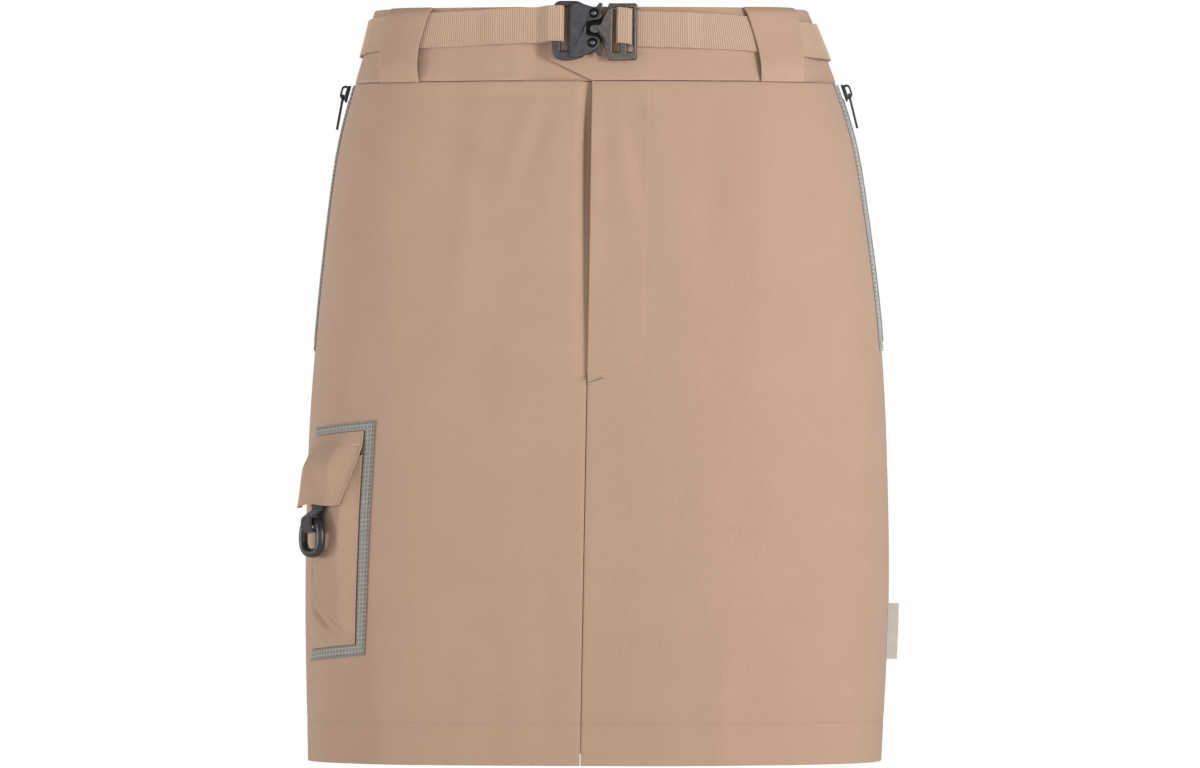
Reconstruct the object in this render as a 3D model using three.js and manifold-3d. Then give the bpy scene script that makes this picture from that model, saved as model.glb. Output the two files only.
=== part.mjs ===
import * as THREE from 'three';
import { mergeVertices } from 'three/addons/utils/BufferGeometryUtils.js';
import Module from 'manifold-3d';

// A cargo utility skirt, filled out as it is worn, in millimetres. +Z is up, the front faces -Y and +X is
// the wearer's left. The origin is the middle of the waistband, half way up it.

const WAIST_TOP = 25;
const WAIST_SEAM = -24;
const HEM = -475;
const HEM_DEPTH = 28;
const FLY_END = -222;

const WALL = 1.6;
const HEM_WALL = 2.8;
const BAND_WALL = 2.4;
const TRIM_WALL = 1.4;
const TAPE_WALL = 0.9;
const GAP = 0.3;
const ROUNDNESS = 2.4;

const BELT_HEIGHT = 23.4;
const BELT_THICK = 1.6;
const BELT_LEVEL = 8;
const BELT_LOW = 1.5;
const BELT_HIGH = 3.4;

const SIDE_TAPE_WIDTH = 36;
const SIDE_TAPE_END = -202;
const PULL_LENGTH = 24;

// Half the width and the depth of the cloth's outer face, level by level, and how far its middle is to one side.
const SECTIONS = [
  { z: 25, half: 144.5, front: 84, back: 88, shift: -4 },
  { z: 0, half: 152.5, front: 88, back: 93, shift: -2 },
  { z: -24, half: 160.5, front: 92, back: 99, shift: -1 },
  { z: -62, half: 171.3, front: 98, back: 109, shift: 0 },
  { z: -102, half: 178, front: 102, back: 117, shift: 0.4 },
  { z: -181, half: 187.3, front: 107, back: 124, shift: 1 },
  { z: -260, half: 192.6, front: 110, back: 125, shift: 0.4 },
  { z: -365, half: 194.6, front: 112, back: 122, shift: 0 },
  { z: -475, half: 191.3, front: 112, back: 118, shift: -1.6 },
];

// Soft folds: the direction they face in degrees from the front, their spread, height and depth.
const FOLDS = [
  { at: -52, spread: 10, z: -475, tall: 120, depth: 2.4 },
  { at: -30, spread: 9, z: -475, tall: 100, depth: -1.8 },
  { at: 26, spread: 10, z: -475, tall: 130, depth: 2.2 },
  { at: 50, spread: 9, z: -475, tall: 110, depth: -2 },
  { at: -36, spread: 12, z: -58, tall: 26, depth: -1.8 },
  { at: 34, spread: 12, z: -60, tall: 30, depth: -1.6 },
  { at: 118, spread: 11, z: -475, tall: 190, depth: 3.2 },
  { at: 142, spread: 10, z: -475, tall: 150, depth: -2.6 },
  { at: 163, spread: 11, z: -475, tall: 210, depth: 3 },
  { at: -157, spread: 12, z: -475, tall: 170, depth: 3.4 },
  { at: -135, spread: 9, z: -475, tall: 140, depth: -2.4 },
  { at: -115, spread: 10, z: -475, tall: 200, depth: 2.8 },
];

// The front opening: where its edge runs, how far it stands off and how far the cloth under it falls back.
const OPENING = [
  { z: -24, x: 1.5, lift: 0.5, fall: 3 },
  { z: -60, x: 1.3, lift: 2, fall: 5.5 },
  { z: -140, x: 0.4, lift: 1.2, fall: 4 },
  { z: -216, x: -0.8, lift: 0.2, fall: 2.3 },
  { z: -475, x: -5.3, lift: 0, fall: 0 },
];
const UNDERLAP = 38;
const TAB_END = -27.6;
const TAB_RISE = 14;
const BAND_FALL = 2.9;
const BAND_UNDERLAP = 14;

// The belt's middle, higher at the front than at the sides and back, and highest at the buckle's socket.
const BELT_RUN = [
  { degrees: -180, z: 2.2 },
  { degrees: -125, z: 3 },
  { degrees: -88, z: 5.4 },
  { degrees: -75, z: 7.6 },
  { degrees: -53, z: 9.9 },
  { degrees: -35, z: 11.4 },
  { degrees: -14, z: 12.2 },
  { degrees: 13, z: 11 },
  { degrees: 21, z: 9.6 },
  { degrees: 41, z: 8.6 },
  { degrees: 51, z: 7.9 },
  { degrees: 74, z: 3.7 },
  { degrees: 125, z: 2.2 },
  { degrees: 180, z: 2.2 },
];

// The edges of the two front belt loops, and how far a loop's inner face stands off the waistband.
const LOOP_EDGES = [
  { z: 25, rightFar: -133, rightNear: -104.5, leftNear: 99.5, leftFar: 131.5 },
  { z: 0, rightFar: -138, rightNear: -112, leftNear: 107.6, leftFar: 135.6 },
  { z: -25, rightFar: -140, rightNear: -113.8, leftNear: 112, leftFar: 138.5 },
];
const LOOP_LIFT = [
  { z: 25, lift: 0.5 },
  { z: 20.5, lift: 3 },
  { z: 8, lift: 3.1 },
  { z: -8, lift: 3.7 },
  { z: -16, lift: 3.4 },
  { z: -25, lift: 0.4 },
];
const LOOP_BOTTOM = -24.8;
const BACK_LOOP_WIDTH = 36;
const BACK_LOOP_ANGLE = 128;

// The pocket on the wearer's right thigh: its front edge, measured round the cloth from the middle of the front.
const POCKET_TOP = -248;
const POCKET_TILT = 0.09;
const POCKET_WIDTH = 59;
const POCKET_HEIGHT = 155;
const POCKET_EDGE = [
  { q: 0, arc: 147 },
  { q: 60, arc: 150 },
  { q: 155, arc: 153 },
];
const FRAME_STRIP = { top: 5.5, front: 7.5, bottom: 7 };
const BAG = { front: 8.6, back: 56.5, mouth: 22, foot: 147.2, depth: 8.5, side: 0.24, base: 20, mouthFill: 0.45 };
const FLAP = { top: 6.2, foot: 54, front: [7.9, 18.5], back: [57, 69], bottomFall: 2, depth: 13.9, edgeRise: 1.15 };
const RING = { width: 19.5, height: 21, bar: 6, squareness: 2.6, p: 36, q: 74.5, out: 14.9 };
const RING_STRAP = { width: 8.6, spread: 0.35, thick: 1.3, q: 46, low: 9.1, high: 10.75, slack: 1.75, drop: 1.6 };

// The buckle's plates, seen square from the front: x to the right and u up, from the middle of the buckle.
const BUCKLE_LEVEL = 7.4;
const PLATE = { base: 5.2, top: 7.8, coverTop: 10, bevel: 0.35 };
const SOCKET_BAR = { from: -24.6, to: -19 };
const TONGUE_BAR = { from: 19.8, to: 24.8 };
const BAR_REACH = 1.4;
const BAND_SAG = 0.4;
const SOCKET_BASE = [
  [-24.6, 16.6], [-21.2, 20.3], [-8.1, 20.3], [-3.5, 17.9], [-2, 15.6], [-2, -14.6], [-4.1, -17.6],
  [-14, -20.1], [-22.6, -18], [-24.6, -14],
];
const SOCKET_SLOT = [[-19, 17.6], [-13.6, 17.6], [-13.6, -13.4], [-19, -13.4]];
const COVER = [
  [-13, 17.6], [-8.1, 19.4], [-3.5, 17.6], [2.5, 15.6], [7.4, 13], [8.6, 9.8], [6.6, 7.2], [0.2, 6.4],
  [-2, 5], [-2, -2.2], [0, -3.2], [5.6, -4], [7.4, -6.8], [6.2, -10.8], [0, -15.6], [-4.1, -17.4],
  [-13, -18.6],
];
const PAWL = [[-1.4, 7.2], [6, 8], [7.4, 12], [8.6, 18.4], [6.6, 19.2], [4.4, 16.2], [-1.4, 14]];
const TONGUE = [
  [12.6, 18.6], [30.4, 18.6], [31.4, 17.6], [31.4, -18.6], [30.4, -19.6], [12.6, -19.6], [12.2, -17.6],
  [7.9, -5], [7.4, -1.5], [2, -1.5], [0.2, -0.6], [-0.5, 1.5], [0.2, 3.7], [2, 4.6], [7.4, 4.6], [7.9, 7.6],
  [12.2, 16.6],
];
const TONGUE_SLOTS = [
  [[15, 16.8], [19.8, 16.8], [19.8, -14.6], [15, -14.6]],
  [[24.8, 17], [29.7, 17], [29.7, -14.8], [24.8, -14.8]],
];
const RIVETS = [{ side: 'upper', x: 3, u: 11.3 }, { side: 'lower', x: 2.2, u: -8.4 }];
const RIVET_PROFILE = [[0, 0], [3, 0], [3, 0.5], [2.5, 0.6], [2.1, 1.3], [1.2, 1.8], [0, 2]];

const COLOURS = {
  cloth: { color: 0xbf9f8b, roughness: 0.85, metalness: 0 },
  webbing: { color: 0xc8ab98, roughness: 0.9, metalness: 0 },
  tape: { color: 0x97918a, roughness: 0.9, metalness: 0 },
  metal: { color: 0x5a5759, roughness: 0.45, metalness: 0.8 },
  black: { color: 0x232224, roughness: 0.6, metalness: 0 },
  label: { color: 0xc6c1b9, roughness: 0.9, metalness: 0 },
};

const group = new THREE.Group();
const { smoothstep, lerp, degToRad, radToDeg } = THREE.MathUtils;

function addPiece(name, geometry, finish, placing) {
  const mesh = new THREE.Mesh(geometry, new THREE.MeshStandardMaterial(COLOURS[finish]));
  mesh.name = name;
  if (placing) mesh.applyMatrix4(placing);
  group.add(mesh);
}

// A smooth curve through a table's rows, read by column.
function curveThrough(table, along) {
  const rows = [...table].sort((a, b) => a[along] - b[along]);
  const last = rows.length - 1;
  const slope = (i, column) => {
    const before = rows[Math.max(i - 1, 0)];
    const after = rows[Math.min(i + 1, last)];
    return (after[column] - before[column]) / (after[along] - before[along]);
  };
  return (column, at) => {
    const place = Math.min(Math.max(at, rows[0][along]), rows[last][along]);
    let i = 0;
    while (i < last - 1 && place > rows[i + 1][along]) i += 1;
    const span = rows[i + 1][along] - rows[i][along];
    const t = (place - rows[i][along]) / span;
    const rise = t * t * (3 - 2 * t);
    const bend = slope(i, column) * (t - 2 * t * t + t ** 3) + slope(i + 1, column) * (t ** 3 - t * t);
    return lerp(rows[i][column], rows[i + 1][column], rise) + span * bend;
  };
}

const section = curveThrough(SECTIONS, 'z');
const opening = curveThrough(OPENING, 'z');
const beltRun = curveThrough(BELT_RUN, 'degrees');
const loopEdges = curveThrough(LOOP_EDGES, 'z');
const loopLift = curveThrough(LOOP_LIFT, 'z');
const pocketEdge = curveThrough(POCKET_EDGE, 'q');

function foldDepth(angle, z) {
  let depth = 0;
  for (const fold of FOLDS) {
    const turn = radToDeg(angle) - fold.at;
    const aside = (turn - 360 * Math.round(turn / 360)) / fold.spread;
    const above = (z - fold.z) / fold.tall;
    depth += fold.depth * Math.exp(-aside * aside - above * above);
  }
  return depth;
}

// A point of the cloth's outer face, by its direction from the front and its level.
function bodyPoint(angle, z) {
  const deep = section(Math.cos(angle) >= 0 ? 'front' : 'back', z);
  const across = Math.abs(Math.sin(angle) / section('half', z)) ** ROUNDNESS;
  const along = Math.abs(Math.cos(angle) / deep) ** ROUNDNESS;
  const radius = (across + along) ** (-1 / ROUNDNESS) + foldDepth(angle, z);
  return new THREE.Vector3(section('shift', z) + radius * Math.sin(angle), -radius * Math.cos(angle), z);
}

// The cloth's own directions at a point: round it, up it and out of it.
function clothAxes(angle, z) {
  const level = Math.min(Math.max(z, HEM + 1), WAIST_TOP - 1);
  const round = bodyPoint(angle + 0.004, level).sub(bodyPoint(angle - 0.004, level)).normalize();
  const slope = bodyPoint(angle, level + 1).sub(bodyPoint(angle, level - 1));
  const out = new THREE.Vector3().crossVectors(round, slope).normalize();
  return { round, up: new THREE.Vector3().crossVectors(out, round), out };
}

function clothPoint(angle, z, out = 0) {
  return bodyPoint(angle, z).addScaledVector(clothAxes(angle, z).out, out);
}

// How far round the cloth each direction is, from the middle of the front.
const girths = new Map();
function girthAt(z) {
  const key = z.toFixed(2);
  if (!girths.has(key)) {
    const lengths = [0];
    let before = bodyPoint(0, z);
    for (let i = 1; i <= 720; i += 1) {
      const point = bodyPoint(i * Math.PI / 360, z);
      lengths.push(lengths[i - 1] + point.distanceTo(before));
      before = point;
    }
    girths.set(key, lengths);
  }
  return girths.get(key);
}

function angleAtArc(z, arc) {
  const lengths = girthAt(z);
  const length = Math.abs(arc);
  let low = 0;
  let high = 720;
  while (high - low > 1) {
    const middle = (low + high) >> 1;
    if (lengths[middle] > length) high = middle;
    else low = middle;
  }
  const part = (length - lengths[low]) / (lengths[high] - lengths[low]);
  return Math.sign(arc) * (low + part) * Math.PI / 360;
}

function angleAtX(z, x) {
  let low = -Math.PI / 2;
  let high = Math.PI / 2;
  for (let i = 0; i < 40; i += 1) {
    const middle = (low + high) / 2;
    if (bodyPoint(middle, z).x > x) high = middle;
    else low = middle;
  }
  return (low + high) / 2;
}

const sideArc = (z) => girthAt(z)[180];
const steps = (from, to, count) => Array.from({ length: count + 1 }, (_, i) => lerp(from, to, i / count));

// One closed wall: a grid of cells between an outer and an inner layer, closed along every free edge.
function closedWall(columns, rows, outerPoint, innerPoint, keep = () => true) {
  const positions = [];
  const index = [];
  const known = new Map();
  const vertex = (layer, i, j) => {
    const key = `${layer},${i},${j}`;
    if (!known.has(key)) {
      known.set(key, positions.length / 3);
      const point = layer ? innerPoint(columns[i], rows[j]) : outerPoint(columns[i], rows[j]);
      positions.push(point.x, point.y, point.z);
    }
    return known.get(key);
  };
  const face = (a, b, c, d) => index.push(a, b, c, a, c, d);
  const inGrid = (i, j) => i >= 0 && j >= 0 && i < columns.length - 1 && j < rows.length - 1 && keep(i, j);
  for (let i = 0; i < columns.length - 1; i += 1) {
    for (let j = 0; j < rows.length - 1; j += 1) {
      if (!inGrid(i, j)) continue;
      const corners = [[i, j], [i + 1, j], [i + 1, j + 1], [i, j + 1]];
      const outer = corners.map(([a, b]) => vertex(0, a, b));
      const inner = corners.map(([a, b]) => vertex(1, a, b));
      face(...outer);
      face(inner[3], inner[2], inner[1], inner[0]);
      const beyond = [[i, j - 1], [i + 1, j], [i, j + 1], [i - 1, j]];
      beyond.forEach(([a, b], side) => {
        const next = (side + 1) % 4;
        if (!inGrid(a, b)) face(outer[next], outer[side], inner[side], inner[next]);
      });
    }
  }
  const geometry = new THREE.BufferGeometry();
  geometry.setAttribute('position', new THREE.Float32BufferAttribute(positions, 3));
  geometry.setIndex(index);
  geometry.computeVertexNormals();
  return geometry;
}

// Cloth on the body between two edges, each an angle at every level.
function clothPanel({ columns, levels, from, to, out = () => 0, wall = () => WALL, keep }) {
  const angleOf = (u, z) => lerp(from(z), to(z), u);
  const outer = (u, z) => clothPoint(angleOf(u, z), z, out(angleOf(u, z), z, u));
  const inner = (u, z) => clothPoint(angleOf(u, z), z, out(angleOf(u, z), z, u) - wall(z));
  return closedWall(columns, levels, outer, inner, keep);
}

const hemWall = (z) => (z < HEM + HEM_DEPTH + 0.5 ? HEM_WALL : WALL);
const panelLevels = [
  HEM, HEM + 14, HEM + HEM_DEPTH, HEM + HEM_DEPTH + 1, -425, -400, -375, -350, -325, -300, -275, -250, FLY_END,
  FLY_END + 6, -196, -170, -145, -120, -98, -78, -60, -45, WAIST_SEAM - GAP / 2,
];
const sideEdge = (side, z, aside = GAP / 2) => side * angleAtArc(z, sideArc(z) - aside);
const openingAngle = (z, aside = 0) => angleAtX(z, opening('x', z) + aside);

// Front of the wearer's right, with the underlap of the front opening.
const rightColumns = [...steps(0, 0.86, 13), 0.9, 0.93, 0.955, 0.978, 0.995, 1];
const underlapColumns = [1.25, 1.5, 1.75, 2];
const rightFall = (angle, z, u) => {
  if (z < FLY_END + 1) return 0;
  return -opening('fall', z) * THREE.MathUtils.clamp((u - 0.93) / 0.065, 0, 1) ** 2;
};
const rightAngle = (u, z) => {
  if (u <= 1) return lerp(sideEdge(-1, z), openingAngle(z, -GAP / 2), u);
  return openingAngle(z, -GAP / 2 + (u - 1) * UNDERLAP);
};
addPiece('front_panel_right', closedWall(
  [...rightColumns, ...underlapColumns],
  panelLevels,
  (u, z) => clothPoint(rightAngle(u, z), z, rightFall(0, z, u)),
  (u, z) => clothPoint(rightAngle(u, z), z, rightFall(0, z, u) - hemWall(z)),
  (i, j) => i < rightColumns.length - 1 || panelLevels[j] > FLY_END + 5,
), 'cloth');

const leftLift = (angle, z, u) => opening('lift', z) * (1 - smoothstep(u, 0, 0.08));
addPiece('front_panel_left', clothPanel({
  columns: [0, 0.02, 0.045, 0.08, ...steps(0.13, 1, 13)],
  levels: panelLevels,
  from: (z) => openingAngle(z, GAP / 2),
  to: (z) => sideEdge(1, z),
  out: leftLift,
  wall: hemWall,
}), 'cloth');

addPiece('back_panel', clothPanel({
  columns: steps(0, 1, 34),
  levels: panelLevels,
  from: (z) => sideEdge(1, z, -GAP / 2),
  to: (z) => 2 * Math.PI + sideEdge(-1, z, -GAP / 2),
  wall: hemWall,
}), 'cloth');

// The waistband: the wearer's left front ends in a tab that laps over the right front.
const bandLevels = [WAIST_SEAM + GAP / 2, -12, 2, 14, WAIST_TOP];
addPiece('waistband_front_right', clothPanel({
  columns: [...steps(0, 0.6, 7), 0.635, 0.665, 0.7, 0.77, 0.85, 0.92, 1],
  levels: bandLevels,
  from: (z) => sideEdge(-1, z),
  to: (z) => angleAtX(z, BAND_UNDERLAP),
  out: (angle, z, u) => -BAND_FALL * smoothstep(u, 0.61, 0.7),
  wall: () => BAND_WALL,
}), 'cloth');

const tabFoot = (x) => WAIST_SEAM + GAP / 2 + TAB_RISE * Math.max(0, (opening('x', 0) - x) / (opening('x', 0) - TAB_END));
const tabColumns = [TAB_END, -18, -8, opening('x', 0), 10, 24];
const bandColumns = [...tabColumns, ...steps(42, 132, 5), 200];
const tabPoint = (x, v, out) => {
  const z = lerp(tabFoot(x), WAIST_TOP, v);
  const angle = x > 140 ? sideEdge(1, z) : angleAtX(z, x);
  return clothPoint(angle, z, out + 0.4 * (1 - smoothstep(x, 10, 42)));
};
addPiece('waistband_front_left', closedWall(
  bandColumns,
  steps(0, 1, 4),
  (x, v) => tabPoint(x, v, 0),
  (x, v) => tabPoint(x, v, -BAND_WALL),
), 'cloth');

addPiece('waistband_back', clothPanel({
  columns: steps(0, 1, 28),
  levels: bandLevels,
  from: (z) => sideEdge(1, z, -GAP / 2),
  to: (z) => 2 * Math.PI + sideEdge(-1, z, -GAP / 2),
  wall: () => BAND_WALL,
}), 'cloth');

// Belt loops: wide straps that stand over the belt and are sewn down at both ends.
const loopLevels = [LOOP_BOTTOM, -22, -17, -10, 2, 12, 19.5, 22.5, WAIST_TOP];
function addLoop(name, from, to) {
  addPiece(name, clothPanel({
    columns: steps(0, 1, 5),
    levels: loopLevels,
    from,
    to,
    out: (angle, z) => loopLift('lift', z) + TRIM_WALL,
    wall: () => TRIM_WALL,
  }), 'cloth');
}
addLoop('belt_loop_front_right', (z) => angleAtX(z, loopEdges('rightFar', z)), (z) => angleAtX(z, loopEdges('rightNear', z)));
addLoop('belt_loop_front_left', (z) => angleAtX(z, loopEdges('leftNear', z)), (z) => angleAtX(z, loopEdges('leftFar', z)));
for (const [side, sign] of [['left', 1], ['right', -1]]) {
  const middle = (z) => {
    const lengths = girthAt(z);
    return lengths[BACK_LOOP_ANGLE * 2];
  };
  const edge = (z, aside) => angleAtArc(z, sign * middle(z) + aside);
  addLoop(`belt_loop_back_${side}`, (z) => edge(z, -BACK_LOOP_WIDTH / 2), (z) => edge(z, BACK_LOOP_WIDTH / 2));
}

// A path with round corners, each row a place along it, its distance out and the corner's radius.
function roundedPath(rows, reach) {
  const path = [];
  const straight = (from, to) => {
    const count = Math.max(1, Math.ceil(from.distanceTo(to) / reach));
    for (let i = 0; i <= count; i += 1) path.push(from.clone().lerp(to, i / count));
  };
  let from = new THREE.Vector2(rows[0].a, rows[0].d);
  for (let k = 1; k < rows.length - 1; k += 1) {
    const corner = new THREE.Vector2(rows[k].a, rows[k].d);
    const before = new THREE.Vector2(rows[k - 1].a, rows[k - 1].d).sub(corner).normalize();
    const after = new THREE.Vector2(rows[k + 1].a, rows[k + 1].d).sub(corner).normalize();
    const turn = Math.PI - Math.acos(THREE.MathUtils.clamp(before.dot(after), -1, 1));
    const cut = rows[k].r * Math.tan(turn / 2);
    const start = corner.clone().addScaledVector(before, cut);
    const end = corner.clone().addScaledVector(after, cut);
    const toMiddle = before.clone().add(after).normalize();
    const middle = corner.clone().addScaledVector(toMiddle, rows[k].r / Math.cos(turn / 2));
    straight(from, start);
    const count = Math.max(1, Math.round(turn / 0.5));
    const spin = Math.sign(before.cross(after)) || 1;
    for (let i = 1; i < count; i += 1) {
      path.push(start.clone().rotateAround(middle, -spin * turn * i / count));
    }
    from = end;
  }
  straight(from, new THREE.Vector2(rows.at(-1).a, rows.at(-1).d));
  return path.filter((point, i) => i === 0 || point.distanceTo(path[i - 1]) > 0.05);
}

// A strap that follows such a path: place gives the point for a place along, across and out.
function strap(path, across, thick, place) {
  const normal = path.map((point, i) => {
    const before = path[Math.max(i - 1, 0)];
    const after = path[Math.min(i + 1, path.length - 1)];
    const along = after.clone().sub(before).normalize();
    return new THREE.Vector2(-along.y, along.x);
  });
  const shifted = (i, b, out) => {
    const point = path[i].clone().addScaledVector(normal[i], out);
    return place(point.x, b, point.y);
  };
  const columns = path.map((_, i) => i);
  return closedWall(columns, across, (i, b) => shifted(i, b, thick / 2), (i, b) => shifted(i, b, -thick / 2));
}

// The belt goes from its folded end on the socket's bar round the back to its folded end on the tongue's bar.
const round = girthAt(BELT_LEVEL)[720];
const beltArc = (x) => x - section('shift', BELT_LEVEL);
const barFace = PLATE.base - BAR_REACH + BAND_SAG;
const barBack = PLATE.top + BAR_REACH + BAND_SAG;
const beltPath = roundedPath([
  { a: beltArc(-60), d: BELT_LOW },
  { a: beltArc(-34), d: BELT_LOW, r: 8 },
  { a: beltArc(-26), d: barFace, r: 5 },
  { a: beltArc(SOCKET_BAR.to + BAR_REACH), d: barFace, r: BAR_REACH },
  { a: beltArc(SOCKET_BAR.to + BAR_REACH), d: barBack, r: BAR_REACH },
  { a: beltArc(-27), d: barBack, r: 8 },
  { a: beltArc(-44), d: BELT_HIGH, r: 10 },
  { a: beltArc(-64), d: BELT_HIGH, r: 6 },
  { a: beltArc(-74), d: BELT_LOW, r: 6 },
  { a: beltArc(74) - round, d: BELT_LOW, r: 6 },
  { a: beltArc(64) - round, d: BELT_HIGH, r: 6 },
  { a: beltArc(27.2) - round, d: BELT_HIGH, r: 1.6 },
  { a: beltArc(26.4) - round, d: barBack, r: 1.4 },
  { a: beltArc(TONGUE_BAR.from - BAR_REACH) - round, d: barBack, r: BAR_REACH },
  { a: beltArc(TONGUE_BAR.from - BAR_REACH) - round, d: barFace, r: BAR_REACH },
  { a: beltArc(22.5) - round, d: barFace, r: 2 },
  { a: beltArc(26.5) - round, d: BELT_LOW, r: 3 },
  { a: beltArc(60) - round, d: BELT_LOW },
], 9);
addPiece('belt_strap', strap(beltPath, steps(-0.5, 0.5, 2), BELT_THICK, (a, b, d) => {
  const angle = angleAtArc(BELT_LEVEL, a);
  const turn = radToDeg(angle);
  const z = beltRun('z', turn < -180 ? turn + 360 : turn) + b * BELT_HEIGHT;
  const { x, y } = bodyPoint(angle, BELT_LEVEL);
  if (y > 0 || Math.abs(x) > 110) return clothPoint(angle, z, d);
  const level = angleAtX(z, x) + (a < -round / 2 ? -2 * Math.PI : 0);
  return clothPoint(lerp(level, angle, smoothstep(Math.abs(x), 50, 110)), z, d);
}), 'webbing');

// The buckle lies flat on the belt, tipped with the front of the waistband.
const axesAt = (angle, z, out = 0) => {
  const { round: across, up, out: outward } = clothAxes(angle, z);
  return new THREE.Matrix4().makeBasis(across, up, outward).setPosition(clothPoint(angle, z, out));
};
const buckleAngle = angleAtX(BUCKLE_LEVEL, 0);
const bucklePlace = axesAt(buckleAngle, BUCKLE_LEVEL);

// An outline with its holes, drawn the other way round from it.
function holedShape(outline, holes) {
  const drawn = (corners, clockwise) => {
    const points = corners.map(([x, y]) => new THREE.Vector2(x, y));
    return THREE.ShapeUtils.isClockWise(points) === clockwise ? points : points.reverse();
  };
  const shape = new THREE.Shape(drawn(outline, false));
  shape.holes = holes.map((hole) => new THREE.Path(drawn(hole, true)));
  return shape;
}

function plate(outline, holes, from, to) {
  const bevel = PLATE.bevel;
  const geometry = new THREE.ExtrudeGeometry(holedShape(outline, holes), {
    depth: to - from - 2 * bevel,
    bevelThickness: bevel,
    bevelSize: bevel,
    bevelOffset: -bevel,
    bevelSegments: 1,
  });
  return geometry.translate(0, 0, from + bevel);
}
addPiece('buckle_socket_base', plate(SOCKET_BASE, [SOCKET_SLOT], PLATE.base, PLATE.top), 'metal', bucklePlace);
addPiece('buckle_socket_cover', plate(COVER, [], PLATE.top + GAP, PLATE.coverTop), 'metal', bucklePlace);
addPiece('buckle_tongue', plate(TONGUE, TONGUE_SLOTS, PLATE.base, PLATE.top), 'metal', bucklePlace);
const lowerPawl = PAWL.map(([x, u]) => [x - 0.2, 2.2 - u]);
addPiece('buckle_pawl_upper', plate(PAWL, [], PLATE.base, PLATE.top), 'metal', bucklePlace);
addPiece('buckle_pawl_lower', plate(lowerPawl, [], PLATE.base, PLATE.top), 'metal', bucklePlace);
for (const rivet of RIVETS) {
  const dome = new THREE.LatheGeometry(RIVET_PROFILE.map(([r, h]) => new THREE.Vector2(r, h)), 16);
  dome.rotateX(Math.PI / 2).translate(rivet.x, rivet.u, PLATE.coverTop + GAP);
  addPiece(`buckle_rivet_${rivet.side}`, dome, 'metal', bucklePlace);
}

const wasm = await Module();
wasm.setup();

function toSolid(geometry) {
  const bare = geometry.clone();
  bare.deleteAttribute('normal');
  bare.deleteAttribute('uv');
  const merged = mergeVertices(bare);
  return new wasm.Manifold(new wasm.Mesh({
    numProp: 3,
    vertProperties: merged.getAttribute('position').array,
    triVerts: new Uint32Array(merged.getIndex().array),
  }));
}

function fromSolid(solid) {
  const mesh = solid.getMesh();
  const geometry = new THREE.BufferGeometry();
  geometry.setAttribute('position', new THREE.BufferAttribute(mesh.vertProperties, 3));
  geometry.setIndex(new THREE.BufferAttribute(mesh.triVerts, 1));
  geometry.computeVertexNormals();
  return geometry;
}

// A slider seen from its side: h up the zip and t out of it, drawn as wide as it is across the zip.
function sideProfile(outline, holes, width) {
  const geometry = new THREE.ExtrudeGeometry(holedShape(outline, holes), { depth: width, bevelEnabled: false });
  return geometry.translate(0, 0, -width / 2).applyMatrix4(new THREE.Matrix4().makeBasis(
    new THREE.Vector3(0, 1, 0), new THREE.Vector3(0, 0, 1), new THREE.Vector3(1, 0, 0),
  ));
}
const CHAIN_TOP = 2.4;
const SLIDER_BODY = [[-6, 2.7], [5.5, 2.7], [5.5, 4.2], [4.5, 4.9], [-4.2, 4.7], [-6, 3.6]];
const SLIDER_BRIDGE = [[-5, 4.4], [5, 4.4], [5, 6.6], [3.4, 8.4], [-2.6, 8.4], [-5, 6.6]];
const BRIDGE_WINDOW = [[-3.4, 5.1], [3.4, 5.1], [3.4, 6.2], [2.6, 7.2], [-2, 7.2], [-3.4, 6.2]];
const SLIDER_DROP = 7;
const PULL_BAR = 6.1;
const PULL_LEAN = 5;
const PULL_THICK = 1.4;
const PULL_OUTLINE = [
  [-2.6, 0.7], [2.6, 0.7], [2.6, -6], [2.1, -8], [2.5, -10], [2.5, 0.7 - PULL_LENGTH + 1],
  [1.6, 0.7 - PULL_LENGTH], [-1.6, 0.7 - PULL_LENGTH], [-2.5, 0.7 - PULL_LENGTH + 1], [-2.5, -10], [-2.1, -8],
  [-2.6, -6],
];
const PULL_EYE = [[-1.7, -0.7], [1.7, -0.7], [1.7, -5.4], [-1.7, -5.4]];

// Side zips: a tape over each side seam, with the closed chain down its middle, a slider and its pull.
for (const [side, sign] of [['left', 1], ['right', -1]]) {
  const tapeAcross = [-0.5, -0.3, -0.1, -0.07, 0.07, 0.1, 0.3, 0.5];
  const tapeFace = (t) => (Math.abs(t) < 0.08 ? CHAIN_TOP : GAP + TAPE_WALL);
  const tapePoint = (t, z, out) => {
    const arc = sign * sideArc(z) + t * SIDE_TAPE_WIDTH;
    return clothPoint(angleAtArc(z, arc), z, out);
  };
  addPiece(`side_zip_tape_${side}`, closedWall(
    tapeAcross,
    steps(SIDE_TAPE_END, WAIST_SEAM - 1, 14),
    (t, z) => tapePoint(t, z, tapeFace(t)),
    (t, z) => tapePoint(t, z, GAP),
  ), 'tape');
  const sliderLevel = WAIST_SEAM - SLIDER_DROP;
  const sliderAngle = sign * angleAtArc(sliderLevel, sideArc(sliderLevel));
  const sliderPlace = axesAt(sliderAngle, sliderLevel);
  const body = toSolid(sideProfile(SLIDER_BODY, [], 7.4));
  const bridge = toSolid(sideProfile(SLIDER_BRIDGE, [BRIDGE_WINDOW], 2.4));
  addPiece(`side_zip_slider_${side}`, fromSolid(body.add(bridge)), 'black', sliderPlace);
  const pull = plate(PULL_OUTLINE, [PULL_EYE], -PULL_THICK / 2, PULL_THICK / 2);
  const pullPlace = sliderPlace.clone()
    .multiply(new THREE.Matrix4().makeTranslation(0, -2, PULL_BAR))
    .multiply(new THREE.Matrix4().makeRotationX(degToRad(PULL_LEAN)));
  addPiece(`side_zip_pull_${side}`, pull, 'black', pullPlace);
}

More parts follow.
